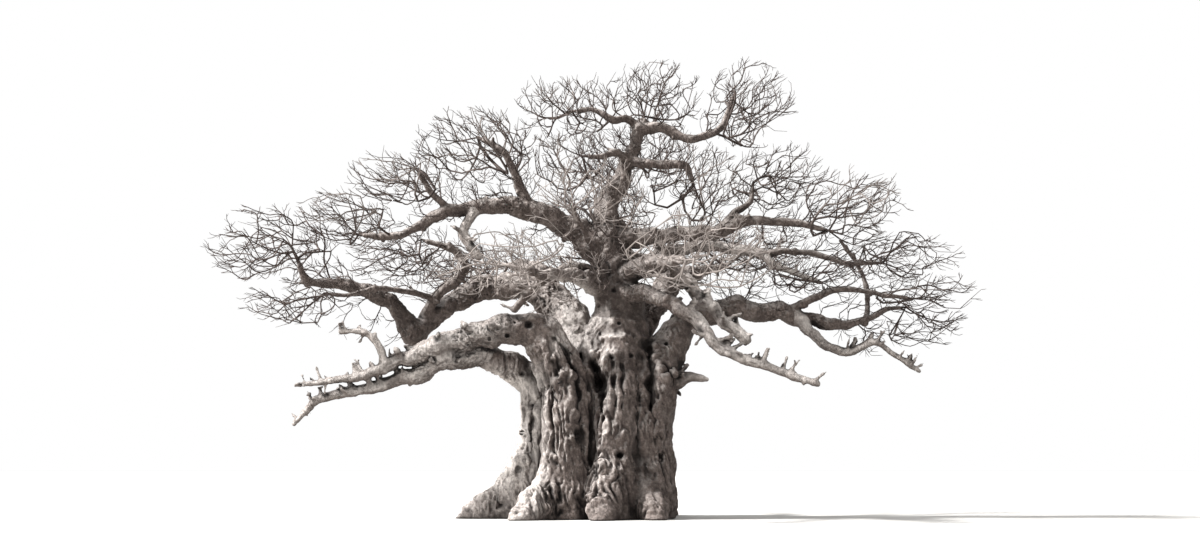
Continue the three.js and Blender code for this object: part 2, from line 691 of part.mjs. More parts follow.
// Splits the grown nodes into twigs: each runs on through its stoutest child, and the others start new twigs.
function twigsOf(nodes) {
  const children = nodes.map(() => []);
  nodes.forEach(({ from }, i) => from >= 0 && children[from].push(i));
  const ends = nodes.map(() => 0);
  for (let i = nodes.length - 1; i >= 0; i--) {
    ends[i] = children[i].length ? children[i].reduce((sum, child) => sum + ends[child], 0) : 1;
  }
  const radiusAt = (i) => TWIG_TIP * SCALE * ends[i] ** (1 / TWIG_THICKENING);
  const twigs = [];
  const starts = [[0]];
  while (starts.length > 0) {
    const chain = starts.pop();
    let last = chain[chain.length - 1];
    while (children[last].length > 0) {
      const [stoutest, ...others] = [...children[last]].sort((a, b) => ends[b] - ends[a]);
      others.forEach((other) => starts.push([last, other]));
      chain.push(stoutest);
      last = stoutest;
    }
    const kept = chain.filter((i, place) => {
      if (i < 2 || place === 0 || place === chain.length - 1 || children[i].length > 1) return true;
      const line = new THREE.Line3(nodes[chain[place - 1]].at, nodes[chain[place + 1]].at);
      return line.closestPointToPoint(nodes[i].at, true, nearest).distanceTo(nodes[i].at) > TWIG_STRAIGHT;
    });
    const points = kept.map((i) => nodes[i].at);
    const radii = kept.map((i, place) => radiusAt(place === 0 ? chain[1] : i));
    if (points.length > 1) twigs.push({ points, radii });
  }
  return twigs;
}

function massSolid(space, bough, lines, random, taken) {
  const tip = bough.points[bough.points.length - 1];
  const before = bough.points[bough.points.length - 2];
  const heading = tip.clone().sub(before).normalize();
  const start = tip.clone().addScaledVector(heading, STUB * SCALE);
  const nearStart = (point) => point.distanceTo(start) < TWIG_STEP * SCALE * 1.1;
  const allowed = (point) =>
    (inOwnSpace(space, point) || nearStart(point)) && clearOfBoughs(lines, point);
  const nodes = [
    { at: tip.clone().addScaledVector(heading, END_GAP), heading, from: -1 },
    { at: start, heading, from: 0 },
  ];
  grow(nodes, placesIn(space, GOALS, allowed, random), allowed, random);
  const solids = twigsOf(nodes).map(({ points, radii }) => limbSolid(points, radii, 3));
  return largest(solids.reduce((mass, twig) => mass.add(twig)).subtract(taken));
}

// Assembly

const BARK = { color: 0x9a8e8a, roughness: 0.85, metalness: 0 };
const TWIG_BARK = { color: 0x6f6461, roughness: 0.9, metalness: 0 };

const tree = new THREE.Group();

// The mesh of a solid, in which corners nearer than SLIVER have become one and the faces between them are
// gone.
const SLIVER = 0.05;
function meshOf(solid) {
  const mesh = solid.getMesh();
  const rough = new THREE.BufferGeometry();
  rough.setAttribute("position", new THREE.BufferAttribute(mesh.vertProperties, 3));
  rough.setIndex(new THREE.BufferAttribute(mesh.triVerts, 1));
  const merged = mergeVertices(rough, SLIVER);
  const corners = merged.index.array;
  const kept = [];
  for (let i = 0; i < corners.length; i += 3) {
    const [a, b, c] = corners.slice(i, i + 3);
    if (a !== b && b !== c && c !== a) kept.push(a, b, c);
  }
  merged.setIndex(kept);
  return merged;
}

function addPiece(name, solid, look) {
  const geometry = meshOf(solid);
  const piece = new THREE.Mesh(geometry, new THREE.MeshStandardMaterial(look));
  piece.name = name;
  tree.add(piece);
}

addPiece("trunk", largest(trunkSolid(0)), BARK);

// Each bough is cut clear of all that stands before it, so that it meets its carrier face to face.
let taken = trunkSolid(GAP);
const lines = {};
for (const [name, bough] of Object.entries(BOUGHS)) {
  const { points, radii } = boughLine(bough);
  const sides = bough.root > THICK_BOUGH ? THICK_SIDES : THIN_SIDES;
  const whole = limbSolid(points, radii, sides);
  addPiece(name, largest(whole.subtract(taken)), BARK);
  taken = taken.add(limbSolid(points, radii, sides, GAP));
  lines[name] = { points, radii };
}

Object.entries(MASSES).forEach(([name, { bough }], index) => {
  const random = seeded(index + 1);
  addPiece(name, massSolid(spaces[index], lines[bough], Object.values(lines), random, taken), TWIG_BARK);
});

export default tree;
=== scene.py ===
# A leafless African baobab, rooted in level ground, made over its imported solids.
import json
import math

import bpy
import numpy as np
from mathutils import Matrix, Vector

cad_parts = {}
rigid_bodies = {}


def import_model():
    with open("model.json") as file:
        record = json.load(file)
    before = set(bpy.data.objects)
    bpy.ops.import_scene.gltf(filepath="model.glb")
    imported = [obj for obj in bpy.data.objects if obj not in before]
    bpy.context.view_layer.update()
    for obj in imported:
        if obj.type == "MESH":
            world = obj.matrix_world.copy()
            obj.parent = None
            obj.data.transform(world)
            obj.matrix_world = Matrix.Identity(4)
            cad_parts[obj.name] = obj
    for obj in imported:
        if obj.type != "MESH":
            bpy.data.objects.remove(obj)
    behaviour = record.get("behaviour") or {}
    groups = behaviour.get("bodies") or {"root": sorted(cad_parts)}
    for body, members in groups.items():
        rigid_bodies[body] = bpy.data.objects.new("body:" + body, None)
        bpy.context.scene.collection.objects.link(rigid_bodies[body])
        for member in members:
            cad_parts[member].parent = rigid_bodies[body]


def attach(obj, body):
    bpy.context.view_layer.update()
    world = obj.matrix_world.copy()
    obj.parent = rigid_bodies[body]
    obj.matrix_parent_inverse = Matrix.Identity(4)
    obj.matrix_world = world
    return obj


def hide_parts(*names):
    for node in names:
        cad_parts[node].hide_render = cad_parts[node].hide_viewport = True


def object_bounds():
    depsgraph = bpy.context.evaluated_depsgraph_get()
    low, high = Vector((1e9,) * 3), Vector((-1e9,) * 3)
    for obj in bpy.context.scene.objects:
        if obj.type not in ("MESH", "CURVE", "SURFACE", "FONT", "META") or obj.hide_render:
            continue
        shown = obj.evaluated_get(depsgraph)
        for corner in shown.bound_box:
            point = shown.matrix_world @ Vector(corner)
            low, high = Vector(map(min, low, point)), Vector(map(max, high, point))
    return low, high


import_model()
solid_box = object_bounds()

import openvdb
from mathutils import Vector
from mathutils.geometry import tessellate_polygon


# Trunk. The trunk of an old baobab is several stems that have grown into one another, on roots that flare out
# at the ground. A stem is a list of [across, depth, height, radius] in millimetres from the ground up, and a
# root one from the trunk down and out. The skin further down melts them together.
STEMS = {
    "core": [
        [500, 300, -300, 2350],
        [500, 300, 900, 2050],
        [550, 300, 2500, 1850],
        [600, 250, 4300, 1800],
        [700, 200, 5900, 1560],
        [850, 200, 7000, 1250],
    ],
    "front_left": [
        [-1150, -1350, -300, 1250],
        [-1100, -1250, 1200, 1060],
        [-1050, -1150, 3000, 960],
        [-1150, -1050, 4700, 920],
        [-1500, -950, 5900, 860],
        [-2000, -1000, 6850, 740],
    ],
    "left_leg": [
        [-2550, -100, -300, 1150],
        [-2500, 0, 700, 980],
        [-2480, 100, 1600, 800],
        [-2400, 150, 2900, 640],
        [-2300, 200, 4100, 560],
        [-2500, 250, 5000, 540],
        [-3150, 150, 5800, 540],
        [-4100, -350, 6150, 450],
    ],
    "right": [
        [1850, -600, -300, 1250],
        [1880, -600, 1200, 1080],
        [1900, -600, 2800, 960],
        [2050, -500, 4200, 980],
        [2300, -250, 5500, 900],
        [2700, 50, 6500, 740],
        [3250, 350, 7250, 600],
    ],
    "front_fold": [
        [650, -1650, -300, 980],
        [650, -1500, 1400, 860],
        [700, -1350, 3200, 780],
        [800, -1150, 5000, 720],
        [900, -850, 6300, 640],
    ],
    "rear_left": [
        [-1500, 1500, -300, 1350],
        [-1300, 1350, 1400, 1150],
        [-1150, 1250, 3200, 1050],
        [-950, 1250, 5000, 1000],
        [-800, 1400, 6500, 820],
    ],
    "rear_right": [
        [1500, 1900, -300, 1350],
        [1450, 1700, 1400, 1180],
        [1400, 1500, 3200, 1080],
        [1400, 1400, 5000, 980],
        [1500, 1400, 6400, 760],
    ],
}
ROOTS = {
    "great_left_root": [
        [-2400, 0, 2200, 560], [-3050, -80, 1250, 640], [-3850, -150, 500, 640], [-4600, -200, 0, 560],
        [-5300, -250, -400, 420],
    ],
    "front_left_root": [[-1500, -1500, 1500, 620], [-2250, -2350, 450, 560], [-2950, -3100, -300, 450]],
    "front_root": [[400, -1900, 1300, 600], [300, -2700, 350, 520], [150, -3400, -300, 420]],
    "front_right_root": [[1900, -1200, 1400, 620], [2100, -2050, 400, 540], [2300, -2800, -300, 420]],
    "right_root": [[2100, 300, 1100, 640], [2350, 500, 300, 640], [2550, 650, -300, 600]],
    "rear_right_root": [[1900, 2000, 1600, 700], [2500, 2900, 500, 600], [3050, 3650, -300, 450]],
    "rear_root": [[200, 1900, 1500, 700], [150, 3200, 400, 600], [100, 4100, -300, 420]],
    "rear_left_root": [[-1700, 1700, 1600, 700], [-2450, 2700, 500, 600], [-3100, 3450, -300, 450]],
}
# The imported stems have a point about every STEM_SPACING, and boughs start from the last one.
STEM_SPACING = 1700


def smooth_line(drawn, spacing):
    """Points of a smooth line through drawn points, about one every spacing, and each one's share of it."""
    drawn = np.asarray(drawn, float)
    spans = len(drawn) - 1
    points, shares = [drawn[0]], [0.0]
    for i in range(spans):
        here, there = drawn[i], drawn[i + 1]
        before = drawn[i - 1] if i > 0 else 2 * here - there
        after = drawn[i + 2] if i < spans - 1 else 2 * there - here
        first = np.sum((here - before) ** 2) ** 0.25
        middle = np.sum((there - here) ** 2) ** 0.25
        last = np.sum((after - there) ** 2) ** 0.25
        leave = (here - before) / first - (there - before) / (first + middle) + (there - here) / middle
        arrive = (there - here) / middle - (after - here) / (middle + last) + (after - there) / last
        leave = leave * middle
        arrive = arrive * middle
        steps = max(1, math.floor(np.linalg.norm(there - here) / spacing + 0.5))
        for s in range(1, steps + 1):
            t = s / steps
            square = -3 * here + 3 * there - 2 * leave - arrive
            cube = 2 * here - 2 * there + leave + arrive
            points.append(here + leave * t + square * t * t + cube * t**3)
            shares.append((i + t) / spans)
    return np.array(points), np.array(shares)


def stem_line(drawn, spacing):
    """The points of a stem or a root, and its radius at each."""
    drawn = np.asarray(drawn, float)
    points, shares = smooth_line(drawn[:, :3], spacing)
    return points, np.interp(shares * (len(drawn) - 1), np.arange(len(drawn)), drawn[:, 3])


# Boughs. Each is one tapering limb. A line is [across, up, depth] on the front elevation, as someone sees it
# who stands 60 m in front with eyes at 1.8 m. It starts inside what carries it, or on the end of a stem, and
# its radius runs from root to tip. The dead ones end bare and broken.
EYE = np.array([160.0, -60000.0, 1800.0])
BOUGHS = {
    "central_leader": {
        "on": "core",
        "line": [[950, 8000, 200], [800, 9100, 100], [650, 10200, 0], [480, 11300, 0], [480, 12100, 0],
                 [800, 13000, 0], [1300, 14000, 0], [1620, 15000, 0], [1850, 15700, 0]],
        "root": 1120, "tip": 210, "bow": 1.45,
    },
    "low_left_bough": {
        "on": "front_left",
        "line": [[-2800, 7430, -1150], [-3800, 7330, -1250], [-4900, 7050, -1350], [-5900, 6850, -1450],
                 [-7200, 6350, -1650], [-8400, 5850, -1800], [-9600, 5450, -1850], [-11000, 5250, -1850],
                 [-11800, 5150, -1850]],
        "root": 700, "tip": 55, "bow": 1.15,
    },
    "leg_bough": {
        "on": "left_leg",
        "line": [[-5050, 6250, -900], [-6100, 6050, -1200], [-7100, 5550, -1400], [-8300, 5200, -1450],
                 [-9700, 4850, -1450], [-10900, 4600, -1450], [-11800, 3650, -1350]],
        "root": 430, "tip": 95,
    },
    "hook_bough": {
        "line": [[-8350, 5800, -1800], [-8450, 6500, -1950], [-8900, 7100, -2050], [-9500, 7300, -2100],
                 [-10050, 7250, -2100]],
        "root": 170, "tip": 70,
    },
    "broken_stub": {
        "line": [[2400, 5150, -300], [3100, 5250, -500], [3800, 5450, -600], [4350, 5380, -600]],
        "root": 380, "tip": 90, "bow": 0.7,
    },
    "right_stem_bough": {
        "on": "right",
        "line": [[4500, 8050, 600], [5800, 8200, 800], [7200, 8000, 900], [8400, 7750, 900],
                 [9700, 7550, 900], [10600, 7700, 900], [11300, 8100, 900], [12000, 8200, 900]],
        "root": 580, "tip": 80, "bow": 1.1,
    },
    "back_left_bough": {
        "on": "rear_left",
        "line": [[-1300, 8100, 1900], [-2500, 8950, 2400], [-4100, 9100, 2800], [-5500, 8500, 2800],
                 [-6500, 7700, 2400], [-7350, 7150, 2000]],
        "root": 780, "tip": 280,
    },
    "far_left_bough": {
        "line": [[-7150, 7250, 2050], [-7550, 7700, 1900], [-8100, 8450, 1700], [-9000, 8850, 1500],
                 [-10200, 9150, 1300], [-11500, 9300, 1100], [-11750, 9900, 1000]],
        "root": 400, "tip": 110, "bow": 0.9,
    },
    "left_mid_riser": {
        "line": [[-6700, 7700, 2400], [-6450, 8600, 1900], [-5600, 9250, 1700], [-5150, 9800, 1600],
                 [-5600, 10450, 1500], [-6700, 10850, 1400]],
        "root": 240, "tip": 100,
    },
    "cross_bough": {
        "line": [[-6400, 8600, 1900], [-7300, 8800, 1100], [-8200, 9000, 700], [-9100, 8900, 600],
                 [-9900, 8700, 600], [-10500, 8750, 600]],
        "root": 130, "tip": 75,
    },
    "upper_left_bough": {
        "line": [[300, 10400, 0], [-1200, 11500, -200], [-2500, 12100, -400], [-4100, 12300, -500],
                 [-5500, 12100, -500], [-6600, 11800, -500], [-7500, 11200, -500], [-8600, 11050, -500],
                 [-9200, 11100, -500]],
        "root": 520, "tip": 90,
    },
    "upper_left_riser": {
        "line": [[-2700, 12100, -400], [-3050, 13200, -500], [-3400, 13950, -600], [-3900, 14650, -700],
                 [-4500, 14950, -700]],
        "root": 220, "tip": 90,
    },
    "shoulder_riser": {
        "line": [[-5700, 12050, -500], [-6350, 12600, -700], [-6800, 13200, -900], [-7050, 13600, -1000]],
        "root": 150, "tip": 85,
    },
    "hanging_stub": {
        "line": [[-4750, 12250, -500], [-5200, 11500, -700], [-5150, 10900, -800], [-4650, 10250, -900]],
        "root": 210, "tip": 150,
    },
    "rear_left_bough": {
        "line": [[-900, 7500, 1600], [-1600, 8800, 3000], [-2300, 9700, 4300], [-3000, 9900, 5900],
                 [-3400, 9900, 7200]],
        "root": 560, "tip": 130,
    },
    "front_arch_bough": {
        "line": [[300, 9400, -500], [-500, 9800, -1500], [-1500, 9650, -2000], [-2400, 9050, -2200],
                 [-3000, 8400, -2000], [-3200, 8150, -1800]],
        "root": 190, "tip": 140,
    },
    "front_riser": {
        "line": [[350, 9700, -600], [-100, 10600, -1900], [-550, 11400, -2600], [-900, 12100, -3000]],
        "root": 150, "tip": 80,
    },
    "right_upper_bough": {
        "line": [[400, 10900, 0], [1800, 11050, -200], [3400, 11100, -300], [4900, 11350, -400],
                 [6000, 11650, -500], [7600, 11650, -500], [9000, 11350, -500]],
        "root": 400, "tip": 90,
    },
    "right_riser": {
        "line": [[4900, 11300, -400], [5500, 12000, -200], [6150, 12450, 0], [6250, 13000, 100]],
        "root": 170, "tip": 85,
    },
    "knobbly_bough": {
        "line": [[800, 9900, 400], [2600, 10300, 1500], [4200, 10700, 1900], [5400, 10600, 1700],
                 [6600, 10300, 1400], [7100, 9800, 1200], [8000, 9550, 1000], [8700, 9300, 900]],
        "root": 360, "tip": 90,
    },
    "right_mid_bough": {
        "line": [[6500, 10350, 1400], [7500, 10450, 1300], [8700, 10350, 1200], [9900, 10000, 1100],
                 [11100, 10000, 1000]],
        "root": 150, "tip": 85,
    },
    "right_far_bough": {
        "line": [[7300, 8000, 900], [8300, 8450, 700], [9200, 8850, 600], [10400, 8900, 500],
                 [11500, 8700, 400], [12300, 8600, 300]],
        "root": 150, "tip": 80,
    },
    "low_right_bough": {
        "line": [[7900, 7850, 900], [8500, 7300, 500], [9100, 6750, 300], [9800, 6400, 200],
                 [10500, 6700, 100], [11000, 6800, 100], [11900, 6250, 0], [12700, 5700, 0]],
        "root": 240, "tip": 70,
    },
    "link_riser": {
        "line": [[10600, 7600, 900], [10750, 8500, 1400], [10600, 9400, 1600], [10200, 10200, 1700],
                 [9700, 10900, 1700]],
        "root": 120, "tip": 60,
    },
    "white_arch_bough": {
        "line": [[1200, 8900, -500], [2400, 8650, -1600], [3300, 8150, -2200], [4100, 7450, -2700],
                 [4700, 6800, -3000], [5600, 6300, -3200], [6700, 5950, -3400], [7700, 5550, -3500],
                 [8700, 5200, -3600]],
        "root": 330, "tip": 110,
    },
    "right_arch_bough": {
        "line": [[1000, 9400, -300], [2000, 9800, -900], [2900, 9700, -1100], [3700, 9100, -1200],
                 [4400, 8300, -1300], [5200, 7600, -1500], [5900, 6950, -1600]],
        "root": 330, "tip": 200,
    },
    "top_right_bough": {
        "line": [[1700, 15400, 0], [2700, 15450, -100], [3500, 15050, -100], [4000, 15000, -100],
                 [4700, 15250, 0], [5100, 15600, 0], [5300, 16200, 0], [5500, 16700, 0]],
        "root": 230, "tip": 85,
    },
    "top_left_bough": {
        "line": [[1700, 15500, 0], [1200, 15850, -200], [700, 15780, -300], [-100, 16200, -300],
                 [-700, 16150, -300]],
        "root": 170, "tip": 85,
    },
    "mid_right_bough": {
        "line": [[1300, 14150, 0], [2200, 14000, -300], [3000, 13950, -400], [3600, 13900, -400],
                 [3800, 13400, -400]],
        "root": 220, "tip": 110,
    },
    "mid_left_bough": {
        "line": [[1300, 14000, 0], [850, 14450, -500], [350, 14300, -800], [-300, 14300, -1000]],
        "root": 180, "tip": 80,
    },
    "front_left_bough": {
        "line": [[300, 9000, -400], [-700, 9400, -2600], [-1800, 9500, -4800], [-2700, 9700, -6800]],
        "root": 360, "tip": 120,
    },
    "front_right_bough": {
        "line": [[1100, 9500, -300], [2100, 10000, -2500], [2900, 10050, -4700], [3500, 10100, -6800]],
        "root": 340, "tip": 120,
    },
    "rear_right_bough": {
        "on": "rear_right",
        "line": [[2500, 8750, 2600], [3800, 9500, 4300], [5000, 9800, 6200]],
        "root": 700, "tip": 130,
    },
    "rear_bough": {
        "line": [[700, 8600, 600], [600, 9900, 2800], [400, 10900, 5000], [300, 11500, 7000]],
        "root": 420, "tip": 120,
    },
    "high_rear_bough": {
        "line": [[500, 12200, 0], [900, 13300, 1800], [1300, 13900, 3400]],
        "root": 240, "tip": 100,
    },
}
DEAD = ("low_left_bough", "leg_bough", "hook_bough", "broken_stub", "white_arch_bough", "right_arch_bough",
        "hanging_stub", "low_right_bough", "front_arch_bough")
# A bough on the end of a stem starts a hair beyond it and runs straight on as far as its SEAT. One that
# leaves another bough has a collar: its foot is wider by a share, which is gone after some times its radius.
END_GAP = 0.6
SEAT = 350
COLLAR = 0.3
COLLAR_LENGTH = 3


def from_front(place):
    """The place of a point of the front elevation that lies further back or forward than the trunk's axis."""
    across, up, depth = place
    spread = (depth - EYE[1]) / -EYE[1]
    return np.array([EYE[0] + (across - EYE[0]) * spread, depth, EYE[2] + (up - EYE[2]) * spread])


def walked(points):
    """How far along a line each of its points lies."""
    return np.concatenate([[0], np.cumsum(np.linalg.norm(np.diff(points, axis=0), axis=1))])


def bough_line(name, spacing):
    """The points of a bough and its radius at each."""
    bough = BOUGHS[name]
    drawn = [from_front(place) for place in bough["line"]]
    if "on" in bough:
        stem = stem_line(STEMS[bough["on"]], STEM_SPACING)[0]
        heading = stem[-1] - stem[-2]
        heading /= np.linalg.norm(heading)
        drawn = [stem[-1] + heading * END_GAP, stem[-1] + heading * SEAT] + drawn
    points = smooth_line(drawn, spacing)[0]
    along = walked(points)
    root, tip = bough["root"], bough["tip"]
    taper = tip + (root - tip) * (1 - along / along[-1]) ** bough.get("bow", 1)
    flare = np.maximum(0, 1 - along / (COLLAR_LENGTH * root)) ** 2
    return points, taper * (1 + (0 if "on" in bough else COLLAR) * flare)


# Skin. Living bark lies over trunk and boughs in one piece, so the distance to the nearest limb is worked out
# on a grid, the limbs melt into one another where they meet, and one surface is drawn over the lot. Stubs,
# folds and knobs are added to the grid before that, and clefts, cracks and hollows are cut into it.
MM = 0.001
SKIN_SPACING = 200
# The grid is in metres. CELL is its step, what lies further off than FAR counts as open air, and MARGIN is
# the air around the limbs. Limbs melt together over these lengths, a bough over a share of its radius.
CELL = 0.045
FAR = 0.6
IN_REACH = 0.98 * FAR
MARGIN = 0.8
STEM_MELT = 0.24
ROOT_MELT = 0.5
BOUGH_MELT = 0.5
LEAST_MELT = 0.06
MOST_MELT = 0.3
# Noise looks from the middle of a cube to its twelve edges. Large odd numbers scramble the cube's place.
GRADIENTS = np.array([[1, 1, 0], [-1, 1, 0], [1, -1, 0], [-1, -1, 0], [1, 0, 1], [-1, 0, 1],
                      [1, 0, -1], [-1, 0, -1], [0, 1, 1], [0, -1, 1], [0, 1, -1], [0, -1, -1]], float)
SCRAMBLERS = np.array([73856093, 19349663, 83492791])
SEED_SCRAMBLER = 2654435761
KEY_SCRAMBLER = 1274126177


def scramble(cells, seed):
    """A whole number for each cell that looks drawn by lot and is always the same."""
    key = cells @ SCRAMBLERS + seed * SEED_SCRAMBLER
    key = (key ^ (key >> 13)) * KEY_SCRAMBLER & 0x7FFFFFFF
    return key ^ (key >> 16)


def noise(at, seed):
    """Gradient noise from about -1 to 1."""
    cells = np.floor(at).astype(np.int64)
    within = at - cells
    fade = within**3 * (within * (within * 6 - 15) + 10)
    total = np.zeros(len(at))
    for corner in np.ndindex(2, 2, 2):
        pull = GRADIENTS[scramble(cells + corner, seed) % len(GRADIENTS)]
        weight = np.prod(np.where(corner, fade, 1 - fade), axis=1)
        total += weight * np.sum((within - corner) * pull, axis=1)
    return total


# In metres: a limb bends about once every BEND and swells about once every SWELLING. It sways by a share of
# its radius and swells by another, and both are held back near its root and its tip.
BEND = 0.8
SWELLING = 0.42
SWAY = 0.75
SWAYING_RADIUS = 0.3
SWELL = 0.22
HELD_ROOT = 0.8
HELD_TIP = 0.5
LIMBS_APART = 3.7


def gnarled(points, radii, seed):
    """Bends a smooth limb a little to and fro, and makes it swell and thin, as old boughs do."""
    along = walked(points)
    held = np.clip(along / HELD_ROOT, 0, 1) * np.clip((along[-1] - along) / HELD_TIP, 0, 1)
    place = np.stack([along, np.full(len(along), seed * LIMBS_APART), np.zeros(len(along))], 1)
    wander = np.stack([noise(place / BEND + [0, 0, 9 * k], seed) for k in range(3)], 1)
    sway = (np.minimum(radii, SWAYING_RADIUS) * SWAY * held)[:, None]
    return points + wander * sway, radii * (1 + SWELL * noise(place / SWELLING, seed + 50) * held)


limbs = []
for group, melt in ((STEMS, STEM_MELT), (ROOTS, ROOT_MELT)):
    for drawn in group.values():
        points, radii = stem_line(drawn, SKIN_SPACING)
        limbs.append(("trunk", points * MM, radii * MM, melt))
for number, name in enumerate(BOUGHS):
    points, radii = bough_line(name, SKIN_SPACING)
    points, radii = gnarled(points * MM, radii * MM, number + 1)
    limbs.append((name, points, radii, min(MOST_MELT, max(LEAST_MELT, BOUGH_MELT * radii[0]))))

grid_low = np.min([points.min(0) for _, points, _, _ in limbs], 0) - MARGIN
grid_low[2] = -2 * CELL
grid_high = np.max([points.max(0) for _, points, _, _ in limbs], 0) + MARGIN
grid_size = np.ceil((grid_high - grid_low) / CELL).astype(int)
field = np.full(grid_size, FAR, np.float32)


def window(low, high):
    """The part of the grid between two corners, and the places of its cells."""
    first = np.maximum(np.floor((low - grid_low) / CELL).astype(int), 0)
    end = np.minimum(np.ceil((high - grid_low) / CELL).astype(int) + 1, grid_size)
    part = tuple(slice(a, b) for a, b in zip(first, end))
    axes = [(grid_low[k] + CELL * np.arange(first[k], end[k])).astype(np.float32) for k in range(3)]
    return part, np.ix_(*axes)


def to_segment(at, start, end, start_radius, end_radius):
    """How far cells lie from the surface of one tapering stretch of limb."""
    x, y, z = at
    way = end - start
    share = (x - start[0]) * way[0] + (y - start[1]) * way[1] + (z - start[2]) * way[2]
    share = np.clip(share / max(way @ way, 1e-9), 0, 1)
    dx = x - start[0] - share * way[0]
    dy = y - start[1] - share * way[1]
    dz = z - start[2] - share * way[2]
    return np.sqrt(dx * dx + dy * dy + dz * dz) - (start_radius + share * (end_radius - start_radius))


def melt_in(points, radii, melt):
    """Adds a tapering limb to the grid, melted into what stands there."""
    reach = FAR + radii.max()
    part, _ = window(points.min(0) - reach, points.max(0) + reach)
    offset = np.array([s.start for s in part])
    own = np.full([s.stop - s.start for s in part], FAR, np.float32)
    for i in range(len(points) - 1):
        reach = FAR + max(radii[i], radii[i + 1])
        low = np.minimum(points[i], points[i + 1]) - reach
        high = np.maximum(points[i], points[i + 1]) + reach
        near, at = window(low, high)
        here = tuple(slice(s.start - o, s.stop - o) for s, o in zip(near, offset))
        distance = to_segment(at, points[i], points[i + 1], radii[i], radii[i + 1])
        np.minimum(own[here], distance, out=own[here])
    before = field[part]
    step = np.maximum(melt - np.abs(before - own), 0) / melt
    step[(own > IN_REACH) | (before > IN_REACH)] = 0
    field[part] = np.minimum(before, own) - step * step * melt * 0.25


for _, points, radii, melt in limbs:
    melt_in(points, radii, melt)

# Broken stubs: dead side shoots that snapped off, mostly on the outer ends of the low dead boughs. There they
# stand up and out, and the long ones end in a crooked fork of two short prongs. In metres: how much bough
# there is to each stub and how far one stands out. It is as thick as a share of its bough and a little more.
LIVING_STUBS = {"every": 0.9, "outward": 1, "out": (0.02, 0.18)}
DEAD_STUBS = {"every": 0.36, "outward": 0.6, "out": (0.05, 0.42)}
STUBS_FROM = 0.12
STUBS_ALONG = 0.86
SKYWARD = 0.85
SKYWARD_LIFT = 0.2
STUB_LEAN = (0.1, 0.9)
STUB_SHARE = (0.14, 0.35)
STOUTEST = 0.25
STUB_LEAST = 0.025
STUB_BEND = 0.05
STUB_TAPER = np.array([1.5, 1.2, 0.85])
STUB_MELT = 0.1
FORKED_FROM = 0.15
PRONG_ASIDE = (0.4, 1)
PRONG_LENGTH = (0.1, 0.24)
PRONG_TAPER = np.array([0.85, 0.5])
PRONG_MELT = 0.05
rng = np.random.default_rng(11)
for name, points, radii, _ in limbs:
    if name == "trunk":
        continue
    dead = name in DEAD
    kind = DEAD_STUBS if dead else LIVING_STUBS
    length = np.linalg.norm(np.diff(points, axis=0), axis=1).sum()
    for _ in range(int(length / kind["every"])):
        i = int(len(points) * (STUBS_FROM + STUBS_ALONG * rng.random() ** kind["outward"]))
        way = points[i] - points[i - 1]
        way /= np.linalg.norm(way)
        out = rng.normal(size=3)
        out -= way * (out @ way)
        out = out / np.linalg.norm(out)
        if dead and rng.random() < SKYWARD:
            out[2] = abs(out[2]) + SKYWARD_LIFT
        out += way * rng.uniform(*STUB_LEAN)
        out /= np.linalg.norm(out)
        thick = min(radii[i], STOUTEST) * rng.uniform(*STUB_SHARE) + STUB_LEAST
        far = radii[i] + rng.uniform(*kind["out"])
        bent = points[i] + out * far + rng.normal(size=3) * STUB_BEND
        stub = np.array([points[i], points[i] + out * radii[i], bent])
        melt_in(stub, thick * STUB_TAPER, STUB_MELT)
        if dead and far > radii[i] + FORKED_FROM:
            aside = np.cross(out, way)
            for side in (-1, 1):
                lean = out * 0.5 + aside * side * rng.uniform(*PRONG_ASIDE) + rng.normal(size=3) * 0.3
                prong = bent + lean * rng.uniform(*PRONG_LENGTH)
                melt_in(np.array([bent, prong]), thick * PRONG_TAPER, PRONG_MELT)


# A line of sight is searched between these depths. A drawn line wavers by WAVER to either side as it climbs.
SEARCHED = (-9, 6)
WAVER = 0.035
WAVES = 7


def hit(across, up):
    """The place on the front of the tree that shows at a point of the front elevation, all in metres."""
    eye = EYE * MM
    sight = np.array([across, 0, up]) - eye
    for depth in np.arange(*SEARCHED, CELL):
        place = eye + sight * (depth - eye[1]) / -eye[1]
        cell = np.round((place - grid_low) / CELL).astype(int)
        if np.all(cell >= 0) and np.all(cell < grid_size) and field[tuple(cell)] < 0:
            return place
    return None


def along_drawn(drawn, spacing):
    """The places on the front of the tree along a drawn line of [across, up, radius], and the radii there."""
    found = []
    for start, end in zip(np.array(drawn) * MM, np.array(drawn[1:]) * MM):
        steps = max(2, int(math.hypot(*(end - start)[:2]) / spacing))
        for share in np.arange(steps) / steps:
            across, up, radius = start + (end - start) * share
            place = hit(across + WAVER * math.sin(WAVES * up), up)
            if place is not None:
                found.append((place, radius))
    return found


